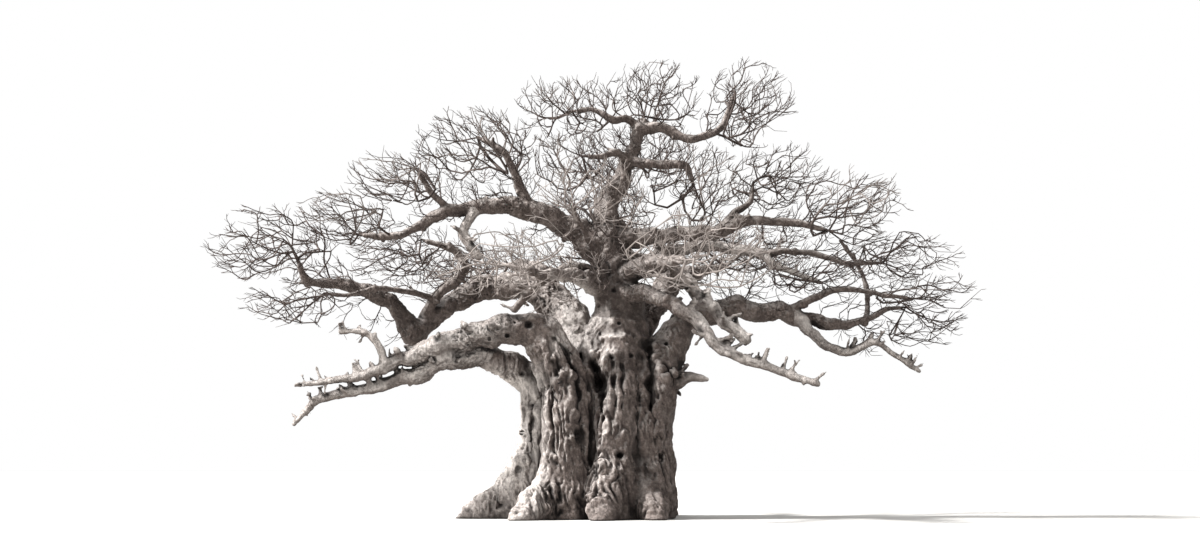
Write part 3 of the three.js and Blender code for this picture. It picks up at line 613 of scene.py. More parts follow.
# Folds stand out on the front of the trunk: the ledge under the leader, the pale edge of the front left stem,
# and folds that hang from the ledge like cloth. Each is a list of [across, up, radius] in millimetres.
FOLDS = {
    "ledge": [[150, 6950, 110], [500, 6950, 160], [1100, 7000, 180], [1600, 7050, 170], [2100, 6950, 120]],
    "pale_rib": [[-380, 7450, 130], [-200, 6900, 170], [-60, 6200, 120]],
    "pale_edge": [[-2750, 6400, 110], [-2300, 5600, 150], [-2050, 5000, 150], [-1850, 4200, 140],
                  [-1750, 3400, 150], [-1600, 2200, 170], [-1700, 1000, 170]],
    "first_hanging": [[480, 6300, 130], [520, 5600, 130], [600, 4800, 110], [560, 4000, 110]],
    "second_hanging": [[860, 6300, 130], [860, 5500, 130], [930, 4600, 110], [860, 3400, 130]],
    "third_hanging": [[1200, 6400, 130], [1230, 5600, 110], [1180, 4500, 130], [1230, 3300, 130],
                      [1150, 2000, 130]],
    "right_middle": [[1850, 6400, 130], [1800, 5500, 140], [1850, 4600, 140], [1800, 3400, 150],
                     [1900, 1800, 150]],
    "right_outer": [[2500, 6300, 110], [2550, 5200, 130], [2500, 4200, 140], [2600, 3000, 130]],
    "left_inner": [[-1200, 6600, 110], [-980, 5800, 130], [-950, 4800, 130], [-1000, 3600, 130],
                   [-1000, 2200, 150]],
    "left_edge": [[-450, 6600, 110], [-400, 5800, 130], [-420, 4900, 110], [-450, 3600, 130],
                  [-400, 2200, 150]],
    "leg_outer": [[-2750, 4600, 110], [-2850, 3600, 110], [-2950, 2600, 130], [-3200, 1600, 130]],
    "leg_inner": [[-2250, 4300, 110], [-2200, 3200, 110], [-2200, 2200, 130]],
}
FOLD_SPACING = 0.16
FOLD_SUNK = 0.5
FOLD_SWELLING = 0.35
FOLD_SWELL = 0.3
FOLD_MELT = 0.16
for drawn in FOLDS.values():
    found = along_drawn(drawn, FOLD_SPACING)
    middle = np.array([place + np.array([0, FOLD_SUNK * radius, 0]) for place, radius in found])
    swell = 1 + FOLD_SWELL * noise(middle / FOLD_SWELLING, 70)
    melt_in(middle, np.array([radius for _, radius in found]) * swell, FOLD_MELT)

# Knobs grow over old wounds. Each is a short thick stretch at [across, up, radius] in metres.
KNOBS = [
    [-1.3, 5.55, 0.2], [2.72, 5.4, 0.16], [3.1, 4.2, 0.3], [0.5, 6.1, 0.12], [-0.9, 3.1, 0.18],
    [-2.6, 2.2, 0.2], [0.2, 2.0, 0.2], [2.3, 6.7, 0.16], [-1.7, 6.2, 0.14],
]
KNOB_LENGTH = 0.01
KNOB_MELT = 0.2
for across, up, radius in KNOBS:
    place = hit(across, up)
    if place is not None:
        melt_in(np.array([place, place + KNOB_LENGTH]), np.array([radius, radius]), KNOB_MELT)

# Clefts run up between the stems, and cracks are finer: [across, up, radius] in millimetres. Hollows are old
# wounds: [across, up, radius] in metres. All go in from the front, as deep as some times their radius.
CLEFTS = {
    "middle": [[-120, 6050, 140], [50, 5700, 230], [180, 5200, 250], [280, 4500, 190], [320, 3900, 140],
               [300, 3100, 90]],
    "right": [[2080, 6600, 80], [2180, 5800, 100], [2130, 5100, 160], [2170, 4500, 140], [2260, 3800, 110],
              [2320, 3000, 80]],
    "left": [[-1600, 7000, 90], [-1200, 6400, 110], [-780, 5500, 130], [-720, 4600, 110], [-700, 3600, 90]],
    "leg": [[-2100, 4900, 100], [-2420, 4350, 130], [-2500, 3600, 110], [-2500, 2600, 90]],
}
CRACKS = [
    [[300, 5900, 60], [400, 5300, 70], [420, 4600, 60]],
    [[700, 6050, 60], [700, 5200, 70], [760, 4300, 50]],
    [[1030, 6000, 50], [1050, 5200, 60], [1020, 4200, 50]],
    [[1600, 6000, 60], [1480, 5100, 80], [1420, 4100, 60]],
    [[-1950, 5100, 60], [-1650, 4750, 80], [-1450, 4400, 50]],
    [[-200, 5500, 50], [-200, 4600, 60], [-280, 3500, 50]],
    [[-1450, 5200, 50], [-1350, 4400, 60], [-1400, 3500, 40]],
]
HOLLOWS = [
    [2.7, 5.62, 0.12], [-2.65, 7.55, 0.14], [-3.5, 7.1, 0.08], [-3.2, 7.6, 0.07], [0.6, 6.25, 0.13],
    [1.4, 6.3, 0.1], [-0.95, 9.15, 0.3], [-0.6, 6.3, 0.2], [-1.35, 5.3, 0.1], [-2.9, 5.6, 0.12],
    [0.95, 2.4, 0.2], [2.5, 2.35, 0.12], [2.8, 6.75, 0.09], [-4.2, 6.95, 0.06], [0.7, 8.9, 0.1],
    [1.0, 10.1, 0.07], [-3.7, 0.5, 0.2], [3.7, 6.5, 0.08], [1.55, 3.6, 0.06], [1.65, 3.3, 0.06],
    [1.5, 3.1, 0.06], [0.9, 7.6, 0.07], [-3.0, 1.9, 0.1], [-2.9, 3.3, 0.1],
]
CLEFT_SPACING = 0.06
CLEFT_CHANGES = [0.5, 9, 0.38]
CLEFT_WIDTHS = (0.5, 1.3)
CLEFT_DEPTH = 2.6
CRACK_SPACING = 0.05
CRACK_CHANGES = [0.5, 9, 0.45]
CRACK_WIDTHS = (0.3, 1.4)
CRACK_DEPTH = 1.7
HOLLOW_DEPTH = 1.6
NARROWING = 0.5
MOUTH_MELT = 0.05
carved = []
for drawn in CLEFTS.values():
    found = along_drawn(drawn, CLEFT_SPACING)
    changes = noise(np.array([place for place, _ in found]) / CLEFT_CHANGES, 72)
    for (place, radius), change in zip(found, changes):
        carved.append((place, radius * np.clip(0.9 + 0.9 * change, *CLEFT_WIDTHS), CLEFT_DEPTH))
for drawn in CRACKS:
    found = along_drawn(drawn, CRACK_SPACING)
    changes = noise(np.array([place for place, _ in found]) / CRACK_CHANGES, 71)
    for (place, radius), change in zip(found, changes):
        width = min(0.75 + 1.5 * change, CRACK_WIDTHS[1])
        if width > CRACK_WIDTHS[0]:
            carved.append((place, radius * width, CRACK_DEPTH))
for across, up, radius in HOLLOWS:
    place = hit(across, up)
    if place is not None:
        carved.append((place, radius, HOLLOW_DEPTH))
for place, radius, depth in carved:
    bottom = place + np.array([0, depth * radius, 0])
    near, at = window(place - radius - FAR, bottom + radius + FAR)
    slot = to_segment(at, place, bottom, radius, radius * NARROWING)
    before = field[near]
    step = np.maximum(MOUTH_MELT - np.abs(before + slot), 0) / MOUTH_MELT
    field[near] = np.maximum(before, -slot) + step * step * MOUTH_MELT * 0.25

# The level ground cuts the grid off flat, and the skin is drawn where the distance is nothing.
_, (_, _, height) = window(grid_low, grid_high)
np.maximum(field, -height, out=field)
volume = openvdb.FloatGrid(FAR)
volume.copyFromArray(np.clip(field, -FAR, FAR))
verts, faces = volume.convertToQuads(isovalue=0.0)
verts = verts.astype(float) * CELL + grid_low
faces = faces.astype(np.int64)


def corner_normals(verts, faces):
    """The way that each corner of a skin of four-sided faces points."""
    a, b, c, d = (verts[faces[:, k]] for k in range(4))
    flat = np.cross(c - a, d - b)
    normals = np.zeros_like(verts)
    for k in range(4):
        np.add.at(normals, faces[:, k], flat)
    return normals / np.maximum(np.linalg.norm(normals, axis=1, keepdims=True), 1e-12)


# Bark relief. Baobab bark is smooth but lies in heavy folds along the limb, with cross wrinkles where a limb
# bends or joins, pits on the old wood, and lumps. Each corner of the skin is moved along its normal by them,
# in the frame of its own limb: two places across the limb and one along it.
NOT_NEAR = 9.0
AROUND = 0.5
ASKEW = [0.31, 0.17, 0.93]
owner = np.zeros(len(verts), int)
nearest = np.full(len(verts), NOT_NEAR)
second = np.full(len(verts), NOT_NEAR)
frame_at = np.zeros((len(verts), 3))
thick = np.ones(len(verts))
for number, (name, points, radii, _) in enumerate(limbs):
    reach = radii.max() + AROUND
    close = np.all((verts > points.min(0) - reach) & (verts < points.max(0) + reach), axis=1)
    close = np.flatnonzero(close)
    best = np.full(len(close), NOT_NEAR)
    place = np.zeros((len(close), 3))
    width = np.ones(len(close))
    side = np.cross(points[1] - points[0], ASKEW)
    walked_so_far = 0.0
    for i in range(len(points) - 1):
        way = points[i + 1] - points[i]
        length = np.linalg.norm(way)
        way = way / length
        side = side - way * (side @ way)
        side /= np.linalg.norm(side)
        across = np.cross(way, side)
        reach = max(radii[i], radii[i + 1]) + length + AROUND
        few = np.flatnonzero(np.all(np.abs(verts[close] - points[i]) < reach, axis=1))
        from_start = verts[close[few]] - points[i]
        share = np.clip(from_start @ way / length, 0, 1)
        off = from_start - np.outer(share * length, way)
        radius = radii[i] + share * (radii[i + 1] - radii[i])
        distance = np.linalg.norm(off, axis=1) - radius
        better = distance < best[few]
        best[few[better]] = distance[better]
        width[few[better]] = radius[better]
        along = walked_so_far + share * length
        place[few[better]] = np.stack([off @ side, off @ across, along], 1)[better]
        walked_so_far += length
    first = best < nearest[close]
    second[close] = np.where(first, nearest[close], np.minimum(second[close], best))
    here = close[first]
    nearest[here] = best[first]
    owner[here] = number
    frame_at[here] = place[first]
    thick[here] = width[first]


def pits(at, seed):
    """Distance from the nearest of many scattered points, one to a cell."""
    cells = np.floor(at).astype(np.int64)
    nearest = np.full(len(at), NOT_NEAR)
    for corner in np.ndindex(3, 3, 3):
        cell = cells + corner - 1
        point = cell + np.stack([scramble(cell, seed + k) % 1024 / 1024 for k in range(3)], 1)
        nearest = np.minimum(nearest, np.linalg.norm(point - at, axis=1))
    return nearest


LITTLE_ON = 0.15
CREASE_SHARPNESS = 1.4
FOLD_TOP = 0.45


def creases(at, size, length, width, seed):
    """Folds that run along the limb: how deep in a crease each place lies, and how high on a fold."""
    stretched = at / [size, size, length]
    value = noise(stretched, seed)
    onward = np.abs(noise(stretched + [0, 0, LITTLE_ON], seed) - value) / LITTLE_ON
    lengthwise = np.clip(1.25 - 1.5 * onward, 0, 1)
    deep = np.clip(1 - np.abs(value) / width, 0, 1) ** CREASE_SHARPNESS * lengthwise
    return deep, np.minimum(np.abs(value), FOLD_TOP)


def rise(value, none, full):
    """0 where a value lies at none or before it, 1 at full or beyond it, and a straight slope between."""
    return np.clip((value - none) / (full - none), 0, 1)


# The relief is full on limbs from this radius on. Its pattern is warped, turns slowly round the limb and
# starts elsewhere on each bough. Folds die out where two limbs join, but not low on the trunk.
FULL_RELIEF = 0.55
LEAST_RELIEF = 0.14
TRUNK_TURN = 0.05
BOUGH_TURN = 0.16
WARP_SIZE = 0.8
WARP = [0.22, 0.22, 0.3]
BOUGHS_APART = 7.31
JOIN = (0, 0.14)
HUB = (6, 5)
FULL_SIZE = 0.9
LEAST_SIZE = 0.3
normals = corner_normals(verts, faces)
names = [name for name, _, _, _ in limbs]
on_trunk = owner < len(STEMS) + len(ROOTS)
strength = np.clip(thick / FULL_RELIEF, LEAST_RELIEF, 1.0)
frame_at[on_trunk] = verts[on_trunk]
turn = np.where(on_trunk, TRUNK_TURN, BOUGH_TURN) * frame_at[:, 2]
warp = np.stack([noise(verts / WARP_SIZE + 5 * k, 3 + k) for k in range(3)], 1) * WARP
local = warp + np.stack([
    frame_at[:, 0] * np.cos(turn) - frame_at[:, 1] * np.sin(turn),
    frame_at[:, 0] * np.sin(turn) + frame_at[:, 1] * np.cos(turn),
    frame_at[:, 2],
], 1) + np.where(on_trunk, 0, owner)[:, None] * BOUGHS_APART
alone = rise(second - nearest, *JOIN)
alone = alone * alone * (3 - 2 * alone)
alone = np.where(on_trunk, np.maximum(alone, rise(verts[:, 2], *HUB)), alone)
scale = np.where(on_trunk, 1.0, np.clip(thick / FULL_SIZE, LEAST_SIZE, 1.0))[:, None]

# Each kind of relief in metres: how wide and how long it is, and how high it stands or how deep it cuts.
LUMPS = {"wide": 1.1, "high": 0.1}
SMALL_LUMPS = {"wide": 0.42, "high": 0.075}
FOLD = {"wide": 0.46, "long": 4.4, "high": 0.19, "deep": 0.1}
SMALL_FOLD = {"wide": 0.17, "long": 1.5, "high": 0.11, "deep": 0.09}
WRINKLE = {"size": [0.55, 0.55, 0.13], "high": 0.05}
POCK = {"size": [0.21, 0.21, 0.27], "deep": 0.085}
DIMPLE = {"size": [0.4, 0.4, 0.55], "deep": 0.05}
GRIT = {"wide": 0.2, "fine": 0.11, "high": 0.03}
LEG_SIDE = (-2.2, -2.867)
LEG_TOP = (5.0, 4.333)
LEVEL_GROUND = (0, 0.3)
lumps = noise(verts / LUMPS["wide"], 11) * LUMPS["high"]
lumps += noise(verts / SMALL_LUMPS["wide"], 12) * SMALL_LUMPS["high"]
deep, high = creases(local / scale, FOLD["wide"], FOLD["long"], 0.2, 14)
small_deep, small_high = creases(local / scale, SMALL_FOLD["wide"], SMALL_FOLD["long"], 0.26, 15)
folded = high * FOLD["high"] + small_high * SMALL_FOLD["high"]
folded = folded - deep * FOLD["deep"] - small_deep * SMALL_FOLD["deep"]
# Folds come and go over the tree, and are strongest low on the trunk.
present = np.clip(noise(verts / 1.2, 16) * 1.6 + 0.75, 0.1, 1)
present *= np.where(on_trunk, np.clip(1.3 - 0.3 * (verts[:, 2] - 4.5), 0.6, 1.3), 0.6)
# Wrinkles run across a bough, most near a join.
wrinkles = noise(local / WRINKLE["size"], 17)
apart = rise(second - nearest, 0, AROUND)
wrinkled = np.clip(noise(verts / 1.3, 18) * 2 + 0.8 - 2.0 * apart, 0, 1)
wrinkled *= np.where(on_trunk, 0.12, 1.0)
# Small pocks cover the left leg and lie in patches elsewhere, and wide shallow dimples lie everywhere.
left_leg = rise(verts[:, 0], *LEG_SIDE) * rise(verts[:, 2], *LEG_TOP)
patchy = np.clip(noise(verts / 1.5, 19) * 2.2 + 0.15, 0, 1) * np.where(on_trunk, 0.1, 0.25)
pock = np.clip(1 - pits((verts + warp * 0.2) / POCK["size"], 20) / 0.4, 0, 1) * np.maximum(patchy, left_leg)
dimple = np.clip(1 - pits(verts / DIMPLE["size"], 24) / 0.3, 0, 1) * np.where(on_trunk, 0.8, 0.5)
rough = noise(verts / GRIT["wide"], 28) * 0.6 + noise(verts / GRIT["fine"], 29) * 0.5
relief = strength * lumps
relief += strength * alone * present * folded
relief += strength * wrinkled * wrinkles * WRINKLE["high"]
relief -= np.sqrt(strength) * (pock * POCK["deep"] + dimple * DIMPLE["deep"])
relief += np.sqrt(strength) * rough * GRIT["high"]
relief *= rise(verts[:, 2], *LEVEL_GROUND)

# Every crease, pock, wrinkle trough, crack, cleft and hollow is painted dark as shade too.
painted_shade = alone * present * (deep * 0.85 + small_deep * 0.75) + pock * 0.8 + dimple * 0.6
painted_shade = np.clip(painted_shade * np.sqrt(strength) + np.clip(-wrinkles * wrinkled, 0, 1) * 0.5, 0, 1)
for place, radius, depth in carved:
    low = place - radius * 1.6
    high = place + radius * 1.6 + [0, depth * radius, 0]
    near = np.flatnonzero(np.all((verts > low) & (verts < high), axis=1))
    inward = np.clip(verts[near, 1] - place[1], 0, depth * radius)
    away = np.linalg.norm(verts[near] - place - np.outer(inward, [0, 1, 0]), axis=1) / radius
    painted_shade[near] = np.maximum(painted_shade[near], np.clip(2.6 - 2 * away, 0, 0.9))

# Painted shade: each corner is darkened the more the wood closes in around it, as shade darkens such places,
# so each corner also keeps how open it lies. Open air is felt for at these distances in metres, each with
# its weight.
FEELERS = ((0.14, 0.4), (0.3, 0.35), (0.52, 0.25))
verts = verts + normals * relief[:, None]
verts[:, 2] = np.maximum(verts[:, 2], 0)
normals = corner_normals(verts, faces)
closed = np.zeros(len(verts))
for out, weight in FEELERS:
    cell = np.round((verts + normals * out - grid_low) / CELL).astype(int)
    cell = np.clip(cell, 0, grid_size - 1)
    closed += weight * np.clip(1.15 - field[cell[:, 0], cell[:, 1], cell[:, 2]] / out, 0, 1)
del field

# The bark is paler where the sun bleaches it and where painted light stands in for sunlight: most on the
# trunk's left flank, on the crag above the front left stem and on the outer dead boughs, then on whatever
# faces up and left toward the lamp. What faces away is painted dark as shade, and the leader's foot as the
# crown's painted shadow. What looks straight at the lamp is painted less pale, because the light itself makes
# it pale.
SUNLIGHT = np.array([0.72, 0.09, -0.69])
STRAIGHT_AT = (0.4, 0.8)
FLANK = {"across": (-1.75, -2.25), "up": (6.2, 5.2)}
CRAG = {"left": (-1.9, -1.4), "right": (0.1, -0.4), "foot": (6, 6.667), "top": (9.4, 8.4)}
BLEACHED = DEAD + ("knobbly_bough",)
BLEACHED_FROM = (3.0, 4.0)
FOOT_TOP = (10.2, 9.486)
STEMS_TOP = 6.4
TOES_FROM = -2.6
TOES_HEIGHT = 1.8
x, _, z = verts.T
flank = rise(x, *FLANK["across"]) * rise(z, *FLANK["up"]) * on_trunk
crag = rise(x, *CRAG["left"]) * rise(x, *CRAG["right"]) * rise(z, *CRAG["foot"]) * rise(z, *CRAG["top"])
painted_light_side = np.maximum(flank * np.clip(0.3 + 0.5 * z, 0, 1), crag)
sunned = np.isin(names, BLEACHED)[owner] * rise(np.abs(x), *BLEACHED_FROM)
sunned = sunned * np.clip(0.95 + noise(verts / 0.7, 82), 0.4, 1)
sunny = 0.75 * normals[:, 2] - 0.7 * normals[:, 0] + 0.25 * noise(verts / 0.5, 80)
painted_lee_shade = np.clip(-0.75 * sunny + 0.05, 0, 1) * np.where(on_trunk, 0.75, 0.6) * (1 - painted_light_side)
# Painted shadow of the crown on the leader's foot.
foot = (np.array(names) == "central_leader")[owner] * rise(z, *FOOT_TOP)
painted_lee_shade = np.maximum(painted_lee_shade, foot * np.clip(0.5 + x * 0.8 + noise(verts / 0.4, 81), 0, 1) * 0.6)
# The painted shade of closed-in places joins the rest, weaker on the painted-light sides.
painted_shade = np.maximum(painted_shade * (1 - 0.6 * painted_light_side), closed * 1.25 * (1 - 0.5 * painted_light_side))
painted_shade = np.clip(np.maximum(painted_shade, painted_lee_shade), 0, 1)
bleach_and_painted_light = np.clip(1.5 * sunny - 0.25, 0, 1) * np.where(on_trunk & (z < STEMS_TOP), 0.7, 1.0)
toes = on_trunk & (x > TOES_FROM)
bleach_and_painted_light *= np.where(toes, np.clip(z / TOES_HEIGHT, 0.15, 1), 1)
bleach_and_painted_light = np.maximum(bleach_and_painted_light, painted_light_side * np.clip(1 - normals[:, 0], 0, 1))
# The outer dead boughs are bleached wood, and their tops are painted paler still as lit by the sun.
bleach_and_painted_light = np.maximum(bleach_and_painted_light, sunned * np.clip(0.85 + 0.9 * normals[:, 2], 0, 1))
full_sun = rise(normals @ -SUNLIGHT, *STRAIGHT_AT)
bleach_and_painted_light *= 1 - full_sun * np.where(on_trunk, 0.25, 0.75)

# The skin is parted into pieces by the limb that each face lies on, and the trunk's own part once more by
# height. Stray spots join the part around them by vote. A part's cut ends are closed with a cap inside the
# wood, and the corners keep the whole skin's normals, so no seam shows.
TRUNK_PARTING = 3.3
ROUNDS_OF_VOTES = 8
SKINS = {
    "lower_trunk_bark": ("trunk",),
    "upper_trunk_bark": ("trunk",),
    "leader_bark": ("central_leader", "upper_left_bough", "upper_left_riser", "shoulder_riser",
                    "hanging_stub", "top_right_bough", "top_left_bough", "mid_right_bough", "mid_left_bough",
                    "high_rear_bough", "front_riser", "front_arch_bough"),
    "left_bark": ("low_left_bough", "leg_bough", "hook_bough", "back_left_bough", "far_left_bough",
                  "left_mid_riser", "cross_bough", "rear_left_bough", "front_left_bough", "rear_bough"),
    "right_bark": ("broken_stub", "right_stem_bough", "right_upper_bough", "right_riser", "knobbly_bough",
                   "right_mid_bough", "right_far_bough", "low_right_bough", "link_riser", "white_arch_bough",
                   "right_arch_bough", "front_right_bough", "rear_right_bough"),
}


def linear(colour):
    """An sRGB hex colour as the shader needs it."""
    parts = [int(colour[i:i + 2], 16) / 255 for i in (1, 3, 5)]
    return [c / 12.92 if c <= 0.04045 else ((c + 0.055) / 1.055) ** 2.4 for c in parts] + [1.0]


def add(tree, kind, settings=None, stops=(), **inputs):
    """Adds a node with its settings and the stops of its ramp, and sets or links its inputs.

    An input goes by its name, with _ for a space, or by _ and its number where several have the same name.
    """
    node = tree.nodes.new(kind)
    for key, value in (settings or {}).items():
        setattr(node, key, value)
    for number, (position, colour) in enumerate(stops):
        elements = node.color_ramp.elements
        element = elements[number] if number < len(elements) else elements.new(position)
        element.position = position
        element.color = linear(colour)
    for key, value in inputs.items():
        socket = node.inputs[int(key[1:])] if key[1:].isdigit() else node.inputs[key.replace("_", " ")]
        if isinstance(value, bpy.types.NodeSocket):
            tree.links.new(value, socket)
        else:
            socket.default_value = value
    return node


# Baobab bark: smooth and dull, grey-brown with a pinkish cast, painted almost white where it is bleached and
# where painted sunlight falls, and painted nearly black as shade in the folds, specks and fine crinkle lines.
# It gives the eye no gloss, only broad soft shade. Its patterns, in millimetres: the slow change of tone, the
# patches, the grain, the crinkles and the specks.
METRE = 1000
TONE = 770
PATCH = 143
GRAIN = 26.3
CRINKLE = 200
SPECK = 111
bark = bpy.data.materials.new("baobab_bark_with_painted_light_and_shade")
bark.use_nodes = True
tree = bark.node_tree
tree.nodes.clear()
place = add(tree, "ShaderNodeTexCoord").outputs["Object"]
mottle = add(tree, "ShaderNodeTexNoise", Vector=place, Scale=METRE / TONE, Detail=6.0, Roughness=0.6)
mottle = mottle.outputs["Fac"]
patches = add(tree, "ShaderNodeTexNoise", Vector=place, Scale=METRE / PATCH, Detail=5.0, Roughness=0.65)
patches = patches.outputs["Fac"]
grain = add(tree, "ShaderNodeTexNoise", Vector=place, Scale=METRE / GRAIN, Detail=3.0, Roughness=0.6)
grain = grain.outputs["Fac"]
upright = add(tree, "ShaderNodeVectorMath", {"operation": "MULTIPLY"}, _0=place, _1=(1, 1, 0.35)).outputs[0]
crinkle = add(tree, "ShaderNodeTexNoise", Vector=upright, Scale=METRE / CRINKLE, Detail=5.0, Roughness=0.6,
              Distortion=1.2)
crinkle = add(tree, "ShaderNodeMath", {"operation": "SUBTRACT"}, _0=crinkle.outputs["Fac"], _1=0.5).outputs[0]
crinkle = add(tree, "ShaderNodeMath", {"operation": "ABSOLUTE"}, _0=crinkle).outputs[0]
crinkle = add(tree, "ShaderNodeMapRange", Value=crinkle, _1=0.0, _2=0.035, _3=1.0, _4=0.0).outputs[0]
specks = add(tree, "ShaderNodeTexVoronoi", Vector=place, Scale=METRE / SPECK, Randomness=1.0)
specks = specks.outputs["Distance"]
base_tones = ((0.3, "#463c38"), (0.5, "#6c615b"), (0.72, "#938882"))
base = add(tree, "ShaderNodeValToRGB", stops=base_tones, Fac=mottle).outputs["Color"]
patch_tones = ((0.3, "#332b28"), (0.52, "#675b56"), (0.75, "#a49a94"))
tint = add(tree, "ShaderNodeValToRGB", stops=patch_tones, Fac=patches).outputs["Color"]
colour = add(tree, "ShaderNodeMix", {"data_type": "RGBA"}, _0=0.5, _6=base, _7=tint).outputs[2]
# Painted light: the stored paleness, part sun bleaching and part painted sunlight, mixes toward the pale
# tone.
pale = add(tree, "ShaderNodeAttribute", {"attribute_name": "bleach_and_painted_light"}).outputs["Fac"]
pale = add(tree, "ShaderNodeMath", {"operation": "MULTIPLY"}, _0=pale, _1=patches).outputs[0]
pale = add(tree, "ShaderNodeMath", {"operation": "MULTIPLY", "use_clamp": True}, _0=pale, _1=2.1).outputs[0]
pale_and_sunlit_tone = linear("#d3cbc5")
colour = add(tree, "ShaderNodeMix", {"data_type": "RGBA"}, _0=pale, _6=colour, _7=pale_and_sunlit_tone).outputs[2]
# Painted shade: the stored shade, the specks' small pits and the fine crinkle lines mix toward near black.
dark = add(tree, "ShaderNodeAttribute", {"attribute_name": "painted_shade"}).outputs["Fac"]
spots = add(tree, "ShaderNodeMapRange", Value=specks, _1=0.12, _2=0.2, _3=0.55, _4=0.0).outputs[0]
dark = add(tree, "ShaderNodeMath", {"operation": "MAXIMUM"}, _0=dark, _1=spots).outputs[0]
lines = add(tree, "ShaderNodeMath", {"operation": "MULTIPLY"}, _0=crinkle, _1=0.55).outputs[0]
dark = add(tree, "ShaderNodeMath", {"operation": "MAXIMUM"}, _0=dark, _1=lines).outputs[0]
dark = add(tree, "ShaderNodeMath", {"operation": "MULTIPLY", "use_clamp": True}, _0=dark, _1=0.95).outputs[0]
deep_shade = linear("#15100e")
colour = add(tree, "ShaderNodeMix", {"data_type": "RGBA"}, _0=dark, _6=colour, _7=deep_shade).outputs[2]
height = add(tree, "ShaderNodeMath", {"operation": "MULTIPLY_ADD"}, _0=patches, _1=2.2, _2=grain).outputs[0]
height = add(tree, "ShaderNodeMath", {"operation": "SUBTRACT"}, _0=height, _1=spots).outputs[0]
height = add(tree, "ShaderNodeMath", {"operation": "SUBTRACT"}, _0=height, _1=crinkle).outputs[0]
bump = add(tree, "ShaderNodeBump", Height=height, Strength=0.8, Distance=0.03).outputs[0]
shader = add(tree, "ShaderNodeBsdfPrincipled", Base_Color=colour, Roughness=0.88, Normal=bump)
shader.inputs["Specular IOR Level"].default_value = 0.25
add(tree, "ShaderNodeOutputMaterial", Surface=shader.outputs[0])


def rings(edges):
    """Sorts the open edges of a part into simple closed rings of corners."""
    onward = {}
    for a, b in edges:
        onward.setdefault(a, []).append(b)
    found = []
    while onward:
        path = [next(iter(onward))]
        while path[-1] in onward:
            ahead = onward[path[-1]]
            step = ahead.pop()
            if not ahead:
                del onward[path[-1]]
            if step in path:
                first = path.index(step)
                found.append(path[first:])
                path = path[:first + 1]
            else:
                path.append(step)
    return found


def cap_over(ring):
    """The triangles that close a ring that runs as the part's faces do, or None where none fit."""
    ring = ring[::-1]
    triangles = tessellate_polygon([[Vector(verts[i]) for i in ring]])
    if len(triangles) != len(ring) - 2:
        return None
    steps = [(c[k - 1], c[k]) for c in triangles for k in range(3)]
    onward = sum((b - a) % len(ring) == 1 for a, b in steps)
    backward = sum((a - b) % len(ring) == 1 for a, b in steps)
    if backward > onward:
        triangles = [c[::-1] for c in triangles]
    return np.array([[ring[i] for i in c] for c in triangles])


part_of = {name: piece for piece, group in SKINS.items() for name in group}
pieces = list(SKINS)
part = np.array([pieces.index(part_of[name]) for name in names])[owner]
low_on_trunk = (part == pieces.index("upper_trunk_bark")) & (z < TRUNK_PARTING)
part[low_on_trunk] = pieces.index("lower_trunk_bark")
face_part = part[faces[:, 0]]
for _ in range(ROUNDS_OF_VOTES):
    votes = np.zeros(len(verts) * len(pieces), int)
    for side in range(4):
        votes += np.bincount(faces[:, side] * len(pieces) + face_part, minlength=len(votes))
    face_part = votes.reshape(len(verts), -1)[faces].sum(1).argmax(1)
count = len(verts)
for number, (piece_name, group) in enumerate(SKINS.items()):
    own = faces[face_part == number]
    starts = own.ravel()
    ends = np.roll(own, -1, axis=1).ravel()
    open_edges = ~np.isin(starts * count + ends, ends * count + starts)
    rim = np.stack([starts[open_edges], ends[open_edges]], 1).tolist()
    used = np.unique(own)
    renumbered = np.full(count, -1)
    renumbered[used] = np.arange(len(used))
    corners = verts[used]
    pointing = normals[used]
    flat = [renumbered[own].ravel()]
    sizes = [np.full(len(own), 4)]
    middles_added = 0
    for ring in rings(rim):
        cap = cap_over(ring)
        if cap is None:
            corners = np.vstack([corners, verts[ring].mean(0)])
            pointing = np.vstack([pointing, [0, 0, 1]])
            middles_added += 1
            ahead = ring[1:] + ring[:1]
            cap = np.stack([renumbered[ahead], renumbered[ring], np.full(len(ring), len(corners) - 1)], 1)
        else:
            cap = renumbered[cap]
        flat.append(cap.ravel())
        sizes.append(np.full(len(cap), 3))
    flat = np.concatenate(flat)
    sizes = np.concatenate(sizes)
    mesh = bpy.data.meshes.new(piece_name)
    mesh.vertices.add(len(corners))
    mesh.vertices.foreach_set("co", corners.ravel())
    mesh.loops.add(len(flat))
    mesh.loops.foreach_set("vertex_index", flat)
    mesh.polygons.add(len(sizes))
    mesh.polygons.foreach_set("loop_start", np.concatenate([[0], np.cumsum(sizes)[:-1]]))
    mesh.update(calc_edges=True)
    mesh.validate()
    mesh.shade_smooth()
    # The painted shade and the paleness, part bleach and part painted light, go on as attributes.
    for name, tones in (("painted_shade", painted_shade), ("bleach_and_painted_light", bleach_and_painted_light)):
        values = np.concatenate([tones[used], np.zeros(middles_added)])
        mesh.attributes.new(name, "FLOAT", "POINT").data.foreach_set("value", values)
    mesh.normals_split_custom_set_from_vertices(pointing)
    mesh.materials.append(bark)
    piece = bpy.data.objects.new(piece_name, mesh)
    bpy.context.scene.collection.objects.link(piece)
    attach(piece, "root")
    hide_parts(*group)


